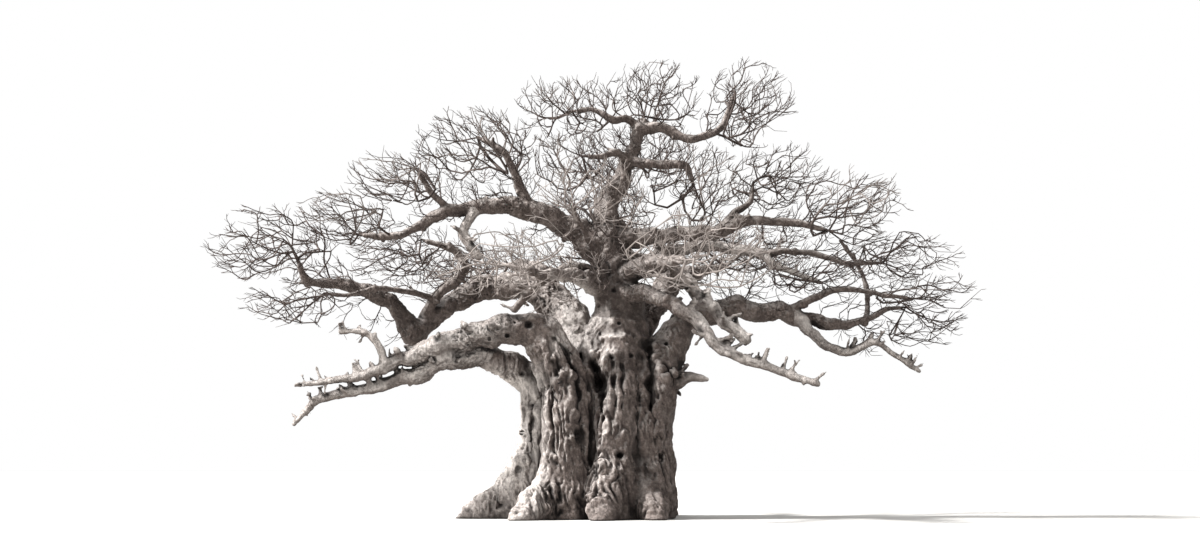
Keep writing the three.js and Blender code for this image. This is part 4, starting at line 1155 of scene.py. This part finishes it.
# Twigs. A baobab's bare twigs are stout and blunt and fork all the way to their ends. Each mass starts from
# the tip of one bough, by the same seeded rule as the solids, and the rule then runs on to finer twigs in the
# same space. A mass has its bough, the middle of its space on the front elevation, and the space's half sizes
# [wide, deep, above, below], in millimetres.
MASSES = {
    "far_left_twigs": ("far_left_bough", [-12650, 10200, 800], [2900, 3400, 2200, 1300]),
    "far_left_low_twigs": ("cross_bough", [-11900, 8450, -600], [2300, 2700, 600, 1100]),
    "left_middle_twigs": ("left_mid_riser", [-7900, 10150, 1900], [2300, 3100, 1000, 1000]),
    "left_tier_twigs": ("upper_left_bough", [-10000, 11700, -1500], [2000, 3300, 1300, 1000]),
    "left_shoulder_twigs": ("shoulder_riser", [-7600, 13300, -1500], [2300, 3500, 1300, 1000]),
    "upper_left_twigs": ("upper_left_riser", [-4700, 14700, -800], [2700, 3600, 1400, 1500]),
    "top_left_twigs": ("top_left_bough", [-1200, 16200, -600], [2100, 3300, 1350, 1300]),
    "top_centre_twigs": ("central_leader", [2300, 16600, 300], [2000, 3300, 1450, 1200]),
    "top_right_twigs": ("top_right_bough", [6200, 16300, 0], [1850, 3200, 1800, 1800]),
    "right_inner_high_twigs": ("mid_right_bough", [4000, 13000, -1500], [1900, 3000, 1900, 1300]),
    "right_upper_twigs": ("right_riser", [7200, 13400, 900], [2200, 3500, 1400, 1200]),
    "right_shoulder_twigs": ("right_upper_bough", [10200, 12100, -1300], [2200, 3500, 1700, 1300]),
    "far_right_twigs": ("right_mid_bough", [12400, 10200, 1300], [2300, 3300, 1000, 900]),
    "far_right_low_twigs": ("right_far_bough", [13200, 8700, -500], [2100, 2900, 900, 700]),
    "right_end_twigs": ("right_stem_bough", [12900, 7700, 1500], [1700, 2400, 800, 1200]),
    "right_inner_twigs": ("knobbly_bough", [8700, 9500, -600], [2200, 3000, 900, 800]),
    "front_centre_twigs": ("front_riser", [-200, 12300, -4600], [2400, 3000, 1800, 1600]),
    "front_left_twigs": ("front_left_bough", [-3800, 9900, -7900], [2700, 3100, 1400, 1200]),
    "front_right_twigs": ("front_right_bough", [4200, 10300, -7900], [2900, 3200, 1600, 1300]),
    "rear_left_twigs": ("rear_left_bough", [-5000, 9700, 8800], [3000, 3100, 1400, 1200]),
    "rear_right_twigs": ("rear_right_bough", [6200, 10100, 8200], [3000, 3100, 1700, 1200]),
    "rear_centre_twigs": ("rear_bough", [200, 11900, 9200], [2900, 3000, 1900, 1700]),
    "high_rear_twigs": ("high_rear_bough", [1600, 14400, 5000], [2900, 2700, 1800, 1500]),
    "upper_inner_twigs": ("mid_left_bough", [-1000, 14200, -2000], [1900, 2700, 1100, 1200]),
}
# The rule of the solids, in millimetres. Of the candidates for each goal it keeps the one furthest from the
# other goals. A goal further out than the first share of SHELL is carried out to the second.
BOUGH_SPACING = 1050
GOALS = 10
CANDIDATES = 12
SHELL = (0.5, 0.97)
TWIG_STEP = 560
START_ROOM = 1.1 * TWIG_STEP
STUB = 260
# A twig would rather leave where another already heads its way, and from inward of its goal. It leaves along
# that other, strays, and turns up and away from the crown's heart at its end.
TURN_COST = 0.6
DETOUR_COST = 0.7
FOLLOW = 0.8
WANDER = 0.7
UPWARD = 0.45
HEART = np.array([500.0, 0, 8000])
OUTWARD = 0.9
# Twigs keep clear of every bough, and of the border to the next mass by a share of the space.
CLEARANCE = 110
BORDER = 0.07
# Finer twigs lie closer to the boughs. They reach a little into the next space and out of the solids' box,
# the edge of their own space is ragged, and they stand further apart in the masses before FRONT_TIER. A goal
# that a twig has all but REACHED is dropped.
FINE_CLEARANCE = 15
FINE_BORDER = -0.06
FINE_STEP = 210
FINE_WANDER = 1.3
FINE_OUTWARD = 0.45
FINE_GAP = 550
FRONT_GAP = 660
BESIDE_GAP = 470
FRONT_TIER = -3000
REACHED = 280
LEAVING = 300
RAGGED = 0.7
RAGGED_SIZE = 1100
THIN_SIZE = 900
PAST_LOW_CORNER = 250
PAST_HIGH_CORNER = 200
SHOOT_EDGE = 1.08
BESIDE_EDGE = 2.2
BESIDE_SHARE = 0.25
AROUND_MASS = 3000
MOST_PLACES = 30000
TRIES = 6000
TRIES_BESIDE = 5
BESIDE_FAR = (400, 1300)
# Shoots: their lengths, how far they spread from what they grow on, and the share of places that bear one.
END_SHOOTS = ((200, 480), (0.35, 0.9))
SIDE_SHOOTS = ((200, 560), (0.6, 1.6))
SMALL_SHOOTS = ((110, 260), (0.5, 1.1))
BESIDE_SHOOTS = ((180, 480), (0.5, 1.3))
SHOOT_SHARE = 0.6
BESIDE_SHOOT_SHARE = 0.75
SHOOT_TURN = 2.4
SHOOT_STRAY = 0.5
SHOOT_LIFT = 0.3
SHOOT_OUTWARD = 0.4
NEARLY_UPRIGHT = 0.2
ONE_STEP = 200
TWO_STEPS = 430
# A twig's radius comes from the number of ends it carries. It starts with a flare and ends in a blunt point.
TWIG_TIP = 11
TWIG_THICKENING = 3.1
BARK_FLARE = 1.5
TWIG_FLARE = 1.15
TWIG_POINT = 0.6
TWIG_SIDES = 3

low_corner = np.array(solid_box[0]) * METRE
high_corner = np.array(solid_box[1]) * METRE
middles = np.array([from_front(middle) for _, middle, _ in MASSES.values()])
halves = np.array([half for _, _, half in MASSES.values()], float)
grown = [(points * METRE, radii * METRE) for name, points, radii, _ in limbs if name != "trunk"]
living = [(points * METRE, radii * METRE) for name, points, radii, _ in limbs if name not in ("trunk", *DEAD)]
line_starts = np.vstack([points[:-1] for points, _ in grown])
line_ends = np.vstack([points[1:] for points, _ in grown])
line_radii = np.concatenate([np.maximum(radii[:-1], radii[1:]) for _, radii in grown])


def seeded(seed):
    """Mulberry32: the same seed always gives the same tree."""
    state = seed & 0xFFFFFFFF

    def roll():
        nonlocal state
        state = (state + 0x6D2B79F5) & 0xFFFFFFFF
        mixed = (state ^ (state >> 15)) * (state | 1) & 0xFFFFFFFF
        mixed ^= (mixed + (mixed ^ (mixed >> 7)) * (mixed | 61)) & 0xFFFFFFFF
        return (mixed ^ (mixed >> 14)) / 4294967296

    return roll


def shares_out(at):
    """How far out each point lies in every space: 0 at its middle and 1 at its edge."""
    off = at[:, None, :] - middles[None]
    wide, deep = halves[:, 0], halves[:, 1]
    high = np.where(off[:, :, 2] > 0, halves[None, :, 2], halves[None, :, 3])
    return np.sqrt((off[:, :, 0] / wide) ** 2 + (off[:, :, 1] / deep) ** 2 + (off[:, :, 2] / high) ** 2)


def clear_of_boughs(at, starts, ends, radii, clearance):
    """Whether each point keeps clear of the stretches of bough near it."""
    way = ends - starts
    share = np.clip(np.einsum("psk,sk->ps", at[:, None] - starts, way) / np.sum(way * way, 1), 0, 1)
    off = at[:, None] - starts - share[:, :, None] * way
    return np.all(np.linalg.norm(off, axis=2) > radii + clearance, axis=1)


class Growth:
    """The twigs of one mass: places, headings, and the place that each one grows from."""

    def __init__(self, index, tip, heading):
        self.index = index
        self.at = np.zeros((MOST_PLACES, 3))
        self.heading = np.zeros((MOST_PLACES, 3))
        self.parent = np.full(MOST_PLACES, -1)
        self.girth = np.zeros(MOST_PLACES)
        self.start = tip + heading * STUB
        self.at[:2] = [tip + heading * END_GAP, self.start]
        self.heading[:2] = heading
        self.parent[1] = 0
        self.count = 2
        reach = halves[index].max() + AROUND_MASS
        near = np.linalg.norm((line_starts + line_ends) / 2 - middles[index], axis=1) < reach
        self.near = (line_starts[near], line_ends[near], line_radii[near])
        self.border = BORDER
        self.edge = 1.0
        self.clearance = CLEARANCE

    def allowed(self, at):
        """Whether a twig may run through each point."""
        shares = shares_out(at)
        own = shares[:, self.index]
        others = np.delete(shares, self.index, axis=1)
        edge = 1.0
        if self.border < 0:
            edge = self.edge * (1 + RAGGED * np.minimum(noise(at / RAGGED_SIZE, 90) - 0.1, 0))
        inside = (own < edge) & np.all(others > own[:, None] + self.border, axis=1)
        inside |= np.linalg.norm(at - self.start, axis=1) < START_ROOM
        inside &= np.all((at > low_corner - PAST_LOW_CORNER) & (at < high_corner + PAST_HIGH_CORNER), axis=1)
        if not inside.any():
            return inside
        return inside & clear_of_boughs(at, *self.near, self.clearance)

    def push(self, at, heading, parent):
        """Adds a place that grows from another, and returns its number."""
        self.at[self.count] = at
        self.heading[self.count] = heading
        self.parent[self.count] = parent
        self.count += 1
        return self.count - 1


def places_in(growth, count, random):
    """Goals near the edge of a mass's space, far from one another."""
    middle, half = middles[growth.index], halves[growth.index]
    places = []
    while len(places) < count:
        best, best_gap = None, -1
        tried = 0
        while tried < CANDIDATES:
            point = np.array([
                middle[0] + (2 * random() - 1) * half[0],
                middle[1] + (2 * random() - 1) * half[1],
                middle[2] + (-half[3] + (half[2] + half[3]) * random()),
            ])
            share = shares_out(point[None])[0, growth.index]
            if share > SHELL[0]:
                point = middle + (point - middle) * (SHELL[1] / share)
            if not growth.allowed(point[None])[0]:
                continue
            tried += 1
            gap = min([np.linalg.norm(place - point) for place in places], default=math.inf)
            if gap > best_gap:
                best, best_gap = point, gap
        places.append(best)
    return places


def grow(growth, goals, step, wander, fan, random, reached=0):
    """Grows a twig to each goal, from the place on an earlier one that is near and already heads its way."""
    for goal in sorted(goals, key=lambda goal: np.linalg.norm(goal - HEART)):
        outward = goal - HEART
        outward /= np.linalg.norm(outward)
        girth = growth.girth[1:growth.count]
        way = goal - growth.at[1:growth.count]
        length = np.linalg.norm(way, axis=1)
        if (length - girth).min() < reached:
            continue
        turn = 1 - np.sum(way * growth.heading[1:growth.count], axis=1) / length
        detour = 1 - way @ outward / length
        source = 1 + int(np.argmin((length - girth) * (1 + TURN_COST * turn + DETOUR_COST * detour)))
        start = growth.at[source]
        length = np.linalg.norm(goal - start)
        way = (goal - start) / length
        leave = growth.heading[source] * FOLLOW + way
        leave /= np.linalg.norm(leave)
        stray = np.array([random() - 0.5, random() - 0.5, random() - 0.5])
        arrive = way + stray * wander + outward * fan
        arrive[2] += UPWARD
        arrive /= np.linalg.norm(arrive)
        steps = max(1, math.floor(length / step + 0.5))
        t = (np.arange(2 * steps + 1) / (2 * steps))[:, None]
        out, back = start + leave * length / 3, goal - arrive * length / 3
        points = start * (1 - t) ** 3 + out * 3 * (1 - t) ** 2 * t + back * 3 * (1 - t) * t * t + goal * t**3
        girth = growth.girth[source]
        leaving = np.linalg.norm(points[1:] - start, axis=1) < girth + LEAVING
        if not (growth.allowed(points[1:]) | (leaving & (girth > 0))).all():
            continue
        for s in range(1, steps + 1):
            heading = points[2 * s] - points[2 * s - 1]
            source = growth.push(points[2 * s], heading / np.linalg.norm(heading), source)


def scattered(growth, rng):
    """Points all over a mass's space, none nearer to another than the gap."""
    middle, half = middles[growth.index], halves[growth.index]
    span = np.array([half[0], half[1], max(half[2], half[3])])
    spread = middle + rng.uniform(-1, 1, (TRIES, 3)) * span
    spread = spread[growth.allowed(spread)]
    low = np.clip((middle[2] - spread[:, 2]) / half[3], 0, 1)
    spread = spread[noise(spread / THIN_SIZE, 91) > -0.2 + 0.35 * low]
    gap = FRONT_GAP if middle[1] < FRONT_TIER else FINE_GAP
    return well_apart(spread, gap)


def well_apart(points, gap):
    """Those of the points, taken in turn, that lie no nearer than the gap to one already kept."""
    kept = np.zeros((0, 3))
    for point in points:
        if not len(kept) or np.min(np.sum((kept - point) ** 2, 1)) > gap**2:
            kept = np.vstack([kept, point])
    return kept


def beside_boughs(growth, rng):
    """Points around the boughs next to a mass, where single twigs break from old wood."""
    bark = np.flatnonzero(growth.girth[:growth.count])
    chosen = rng.choice(bark, TRIES_BESIDE * len(bark))
    away = rng.normal(size=(len(chosen), 3)) + [0, 0, SHOOT_LIFT]
    away /= np.linalg.norm(away, axis=1, keepdims=True)
    far = growth.girth[chosen] + rng.uniform(*BESIDE_FAR, len(chosen))
    points = growth.at[chosen] + away * far[:, None]
    return well_apart(points[growth.allowed(points)], BESIDE_GAP)


def shoots(growth, sources, lengths, spread, random):
    """Grows short side twigs from some places, to either side by turns, that curl up at their ends."""
    side = 1
    for source in sources:
        heading = growth.heading[source]
        level = np.array([heading[1], -heading[0], 0.0])
        if np.linalg.norm(level) < NEARLY_UPRIGHT:
            level = np.array([random() - 0.5, random() - 0.5, 0.0])
        level /= np.linalg.norm(level)
        side = -side
        tilt = np.cross(heading, level)
        turn = (random() - 0.5) * SHOOT_TURN
        aside = side * (level * math.cos(turn) + tilt * math.sin(turn))
        out = heading + aside * (spread[0] + (spread[1] - spread[0]) * random())
        out /= np.linalg.norm(out)
        length = lengths[0] + (lengths[1] - lengths[0]) * random()
        outward = growth.at[source] - HEART
        bend = np.array([random() - 0.5, random() - 0.5, random() - 0.5]) * SHOOT_STRAY
        bend += np.array([0, 0, SHOOT_LIFT])
        bend += outward / np.linalg.norm(outward) * SHOOT_OUTWARD
        steps = 1 if length < ONE_STEP else 2 if length < TWO_STEPS else 3
        at = growth.at[source] + out * growth.girth[source]
        points, headings = [], []
        for _ in range(steps):
            at = at + out * length / steps
            points.append(at)
            headings.append(out)
            out = out + bend / steps
            out /= np.linalg.norm(out)
        if not growth.allowed(np.array(points)).all():
            continue
        for point, way in zip(points, headings):
            source = growth.push(point, way, source)


def twig_lines(growth):
    """Splits the places into twigs: each runs on through its stoutest child, and the rest start others."""
    count = growth.count
    parent = growth.parent[:count]
    children = [[] for _ in range(count)]
    for i in range(1, count):
        if parent[i] >= 0:
            children[parent[i]].append(i)
    ends = np.ones(count)
    for i in range(count - 1, -1, -1):
        if children[i]:
            ends[i] = sum(ends[child] for child in children[i])
    radius = TWIG_TIP * ends ** (1 / TWIG_THICKENING)
    lines = []
    starts = [[0]] + [[i, child] for i in range(count) if growth.girth[i] > 0 for child in children[i]]
    while starts:
        chain = starts.pop()
        here = chain[-1]
        while children[here]:
            stoutest, *others = sorted(children[here], key=lambda child: -ends[child])
            starts.extend([here, other] for other in others)
            chain.append(stoutest)
            here = stoutest
        if len(chain) > 1:
            radii = radius[chain]
            flare = BARK_FLARE if growth.girth[chain[0]] > 0 else TWIG_FLARE
            radii[0] = radius[chain[1]] * flare
            radii[-1] *= TWIG_POINT
            lines.append((growth.at[chain] * MM, radii * MM))
    return lines


# Twig bark: thin, matt and darker than the limbs, in patches of tone as long as a hand (in millimetres).
# Twigs in front of the leader get painted light: the further forward (in metres), the paler.
TWIG_PATCH = 200
PALER = {"from": -2.5, "to": -5.0, "share": 0.42}
twig_bark = bpy.data.materials.new("bare_twig_bark")
twig_bark.use_nodes = True
tree = twig_bark.node_tree
tree.nodes.clear()
place = add(tree, "ShaderNodeTexCoord").outputs["Object"]
patches = add(tree, "ShaderNodeTexNoise", Vector=place, Scale=METRE / TWIG_PATCH, Detail=4.0, Roughness=0.6)
patches = patches.outputs["Fac"]
twig_tones = ((0.3, "#2a2321"), (0.55, "#453c38"), (0.75, "#6a605b"))
colour = add(tree, "ShaderNodeValToRGB", stops=twig_tones, Fac=patches).outputs["Color"]
depth = add(tree, "ShaderNodeSeparateXYZ", Vector=place).outputs["Y"]
front = add(tree, "ShaderNodeMapRange", Value=depth, _1=PALER["from"], _2=PALER["to"], _3=0.0,
            _4=PALER["share"]).outputs[0]
# Painted light on the front twigs.
painted_sunlit_twig = linear("#aea59f")
colour = add(tree, "ShaderNodeMix", {"data_type": "RGBA"}, _0=front, _6=colour, _7=painted_sunlit_twig).outputs[2]
bump = add(tree, "ShaderNodeBump", Height=patches, Strength=0.5, Distance=0.01).outputs[0]
shader = add(tree, "ShaderNodeBsdfPrincipled", Base_Color=colour, Roughness=0.9, Normal=bump)
shader.inputs["Specular IOR Level"].default_value = 0.2
add(tree, "ShaderNodeOutputMaterial", Surface=shader.outputs[0])

# The node tree that turns the twigs' middle lines into round wood, by a ring carried along each line.
twig_tree = bpy.data.node_groups.new("twigs_from_lines", "GeometryNodeTree")
twig_tree.interface.new_socket("Geometry", in_out="INPUT", socket_type="NodeSocketGeometry")
sides_socket = twig_tree.interface.new_socket("Sides", in_out="INPUT", socket_type="NodeSocketInt")
stout_socket = twig_tree.interface.new_socket("Stoutness", in_out="INPUT", socket_type="NodeSocketFloat")
twig_tree.interface.new_socket("Geometry", in_out="OUTPUT", socket_type="NodeSocketGeometry")
given = twig_tree.nodes.new("NodeGroupInput").outputs
size = add(twig_tree, "GeometryNodeInputNamedAttribute", {"data_type": "FLOAT"}, Name="radius").outputs[0]
size = add(twig_tree, "ShaderNodeMath", {"operation": "MULTIPLY"}, _0=size, _1=given["Stoutness"]).outputs[0]
curve = add(twig_tree, "GeometryNodeMeshToCurve", Mesh=given["Geometry"]).outputs[0]
ring = add(twig_tree, "GeometryNodeCurvePrimitiveCircle", Resolution=given["Sides"], Radius=1.0).outputs[0]
wood = add(twig_tree, "GeometryNodeCurveToMesh", Curve=curve, Profile_Curve=ring, Scale=size, Fill_Caps=True)
wood = wood.outputs[0]
wood = add(twig_tree, "GeometryNodeRealizeInstances", Geometry=wood).outputs[0]
wood = add(twig_tree, "GeometryNodeSetMaterial", Geometry=wood, Material=twig_bark).outputs[0]
result = twig_tree.nodes.new("NodeGroupOutput")
twig_tree.links.new(wood, result.inputs[0])


def wooden(name, lines, sides):
    """A mesh of round wood over middle lines."""
    corners = np.vstack([points for points, _ in lines])
    radii = np.concatenate([radii for _, radii in lines])
    sizes = np.array([len(points) for points, _ in lines])
    firsts = np.concatenate([[0], np.cumsum(sizes)[:-1]])
    runs = np.ones(len(corners), bool)
    runs[firsts + sizes - 1] = False
    starts = np.flatnonzero(runs)
    skeleton = bpy.data.meshes.new(name + "_lines")
    skeleton.vertices.add(len(corners))
    skeleton.vertices.foreach_set("co", corners.ravel())
    skeleton.edges.add(len(starts))
    skeleton.edges.foreach_set("vertices", np.stack([starts, starts + 1], 1).ravel())
    size = skeleton.attributes.new("radius", "FLOAT", "POINT")
    size.data.foreach_set("value", radii)
    skeleton.update()
    maker = bpy.data.objects.new(name + "_maker", skeleton)
    bpy.context.scene.collection.objects.link(maker)
    modifier = maker.modifiers.new("twigs", "NODES")
    modifier.node_group = twig_tree
    modifier[sides_socket.identifier] = sides
    modifier[stout_socket.identifier] = 1.0
    graph = bpy.context.evaluated_depsgraph_get()
    mesh = bpy.data.meshes.new_from_object(maker.evaluated_get(graph))
    maker.modifiers.remove(modifier)
    bpy.data.objects.remove(maker)
    mesh.name = name
    if "radius" in mesh.attributes:
        mesh.attributes.remove(mesh.attributes["radius"])
    mesh.shade_smooth()
    piece = bpy.data.objects.new(name, mesh)
    bpy.context.scene.collection.objects.link(piece)
    return piece


for index, (name, (bough, _, _)) in enumerate(MASSES.items()):
    random = seeded(index + 1)
    rng = np.random.default_rng(index + 1)
    points, _ = bough_line(bough, BOUGH_SPACING)
    heading = points[-1] - points[-2]
    growth = Growth(index, points[-1], heading / np.linalg.norm(heading))
    grow(growth, places_in(growth, GOALS, random), TWIG_STEP, WANDER, OUTWARD, random)
    # Living boughs in or beside the space bear finer twigs too, so their points are places to grow from.
    growth.border = FINE_BORDER
    growth.clearance = FINE_CLEARANCE
    for points, radii in living:
        shares = shares_out(points)
        beside = (shares[:, index] < BESIDE_EDGE) & (shares[:, index] < shares.min(1) + BESIDE_SHARE)
        for i in np.flatnonzero(beside[1:]) + 1:
            way = points[i] - points[i - 1]
            place = growth.push(points[i], way / np.linalg.norm(way), -1)
            growth.girth[place] = radii[i]
    grow(growth, scattered(growth, rng), FINE_STEP, FINE_WANDER, FINE_OUTWARD, random, REACHED)
    # Shoots stand at the ends and along the sides of the twigs, and small ones on those.
    count = growth.count
    wood = np.flatnonzero(growth.girth[:count] == 0)[1:]
    has_child = np.zeros(count, bool)
    has_child[growth.parent[1:count]] = True
    ends = [i for i in wood if not has_child[i]]
    growth.edge = SHOOT_EDGE
    shoots(growth, ends * 3, *END_SHOOTS, random)
    shoots(growth, [i for i in wood if random() < SHOOT_SHARE], *SIDE_SHOOTS, random)
    end = growth.count
    shoots(growth, [i for i in range(count, end) if random() < SHOOT_SHARE], *SMALL_SHOOTS, random)
    # Single twigs stand around the boughs, with two rounds of shoots.
    growth.edge = BESIDE_EDGE
    end = growth.count
    grow(growth, beside_boughs(growth, rng), FINE_STEP, FINE_WANDER, FINE_OUTWARD, random, REACHED)
    for _ in range(2):
        fresh = range(end, growth.count)
        end = growth.count
        shoots(growth, [i for i in fresh if random() < BESIDE_SHOOT_SHARE], *BESIDE_SHOOTS, random)
    piece = wooden(name + "_wood", twig_lines(growth), TWIG_SIDES)
    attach(piece, "root")
    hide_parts(name)


# Floor, light and camera: a plain pale floor under a white studio sky, one soft high lamp from the left and a
# little in front, and an eye 60 m in front of the trunk that looks up at the crown.
FLOOR_WIDTH = 4000
FLOOR_DROP = 0.004
bpy.ops.mesh.primitive_plane_add(size=FLOOR_WIDTH, location=(0, 0, -FLOOR_DROP))
floor = bpy.context.object
floor.name = "floor"
paper = bpy.data.materials.new("matt_pale_paper")
paper.use_nodes = True
paper.node_tree.nodes["Principled BSDF"].inputs["Base Color"].default_value = linear("#a9a7a4")
paper.node_tree.nodes["Principled BSDF"].inputs["Roughness"].default_value = 1.0
floor.data.materials.append(paper)

sky = bpy.data.worlds.new("white_sky")
sky.use_nodes = True
sky.node_tree.nodes["Background"].inputs["Color"].default_value = linear("#ffffff")
sky.node_tree.nodes["Background"].inputs["Strength"].default_value = 1.0
bpy.context.scene.world = sky
LAMP_STRENGTH = 13.0
LAMP_SOFTNESS = 5
LAMP_FORWARD = 5
LAMP_LEFT = 46
lamp = bpy.data.lights.new("sun", "SUN")
lamp.energy = LAMP_STRENGTH
lamp.angle = math.radians(LAMP_SOFTNESS)
sun = bpy.data.objects.new("sun", lamp)
sun.rotation_euler = (math.radians(LAMP_FORWARD), math.radians(-LAMP_LEFT), 0)
bpy.context.scene.collection.objects.link(sun)

# The lens has its focal length in pixels of the photograph, and looks up by some degrees.
SENSOR_WIDTH = 36
FOCAL_PIXELS = 1527
PHOTO_PIXELS = 1200
TILT = 7.25
FURTHEST_SEEN = 5000
lens = bpy.data.cameras.new("camera")
lens.sensor_width = SENSOR_WIDTH
lens.lens = SENSOR_WIDTH * FOCAL_PIXELS / PHOTO_PIXELS
lens.clip_end = FURTHEST_SEEN
camera = bpy.data.objects.new("camera", lens)
camera.location = EYE * MM
camera.rotation_euler = (math.radians(90 + TILT), 0, 0)
bpy.context.scene.collection.objects.link(camera)
bpy.context.scene.camera = camera
bpy.context.scene.view_settings.view_transform = "Standard"
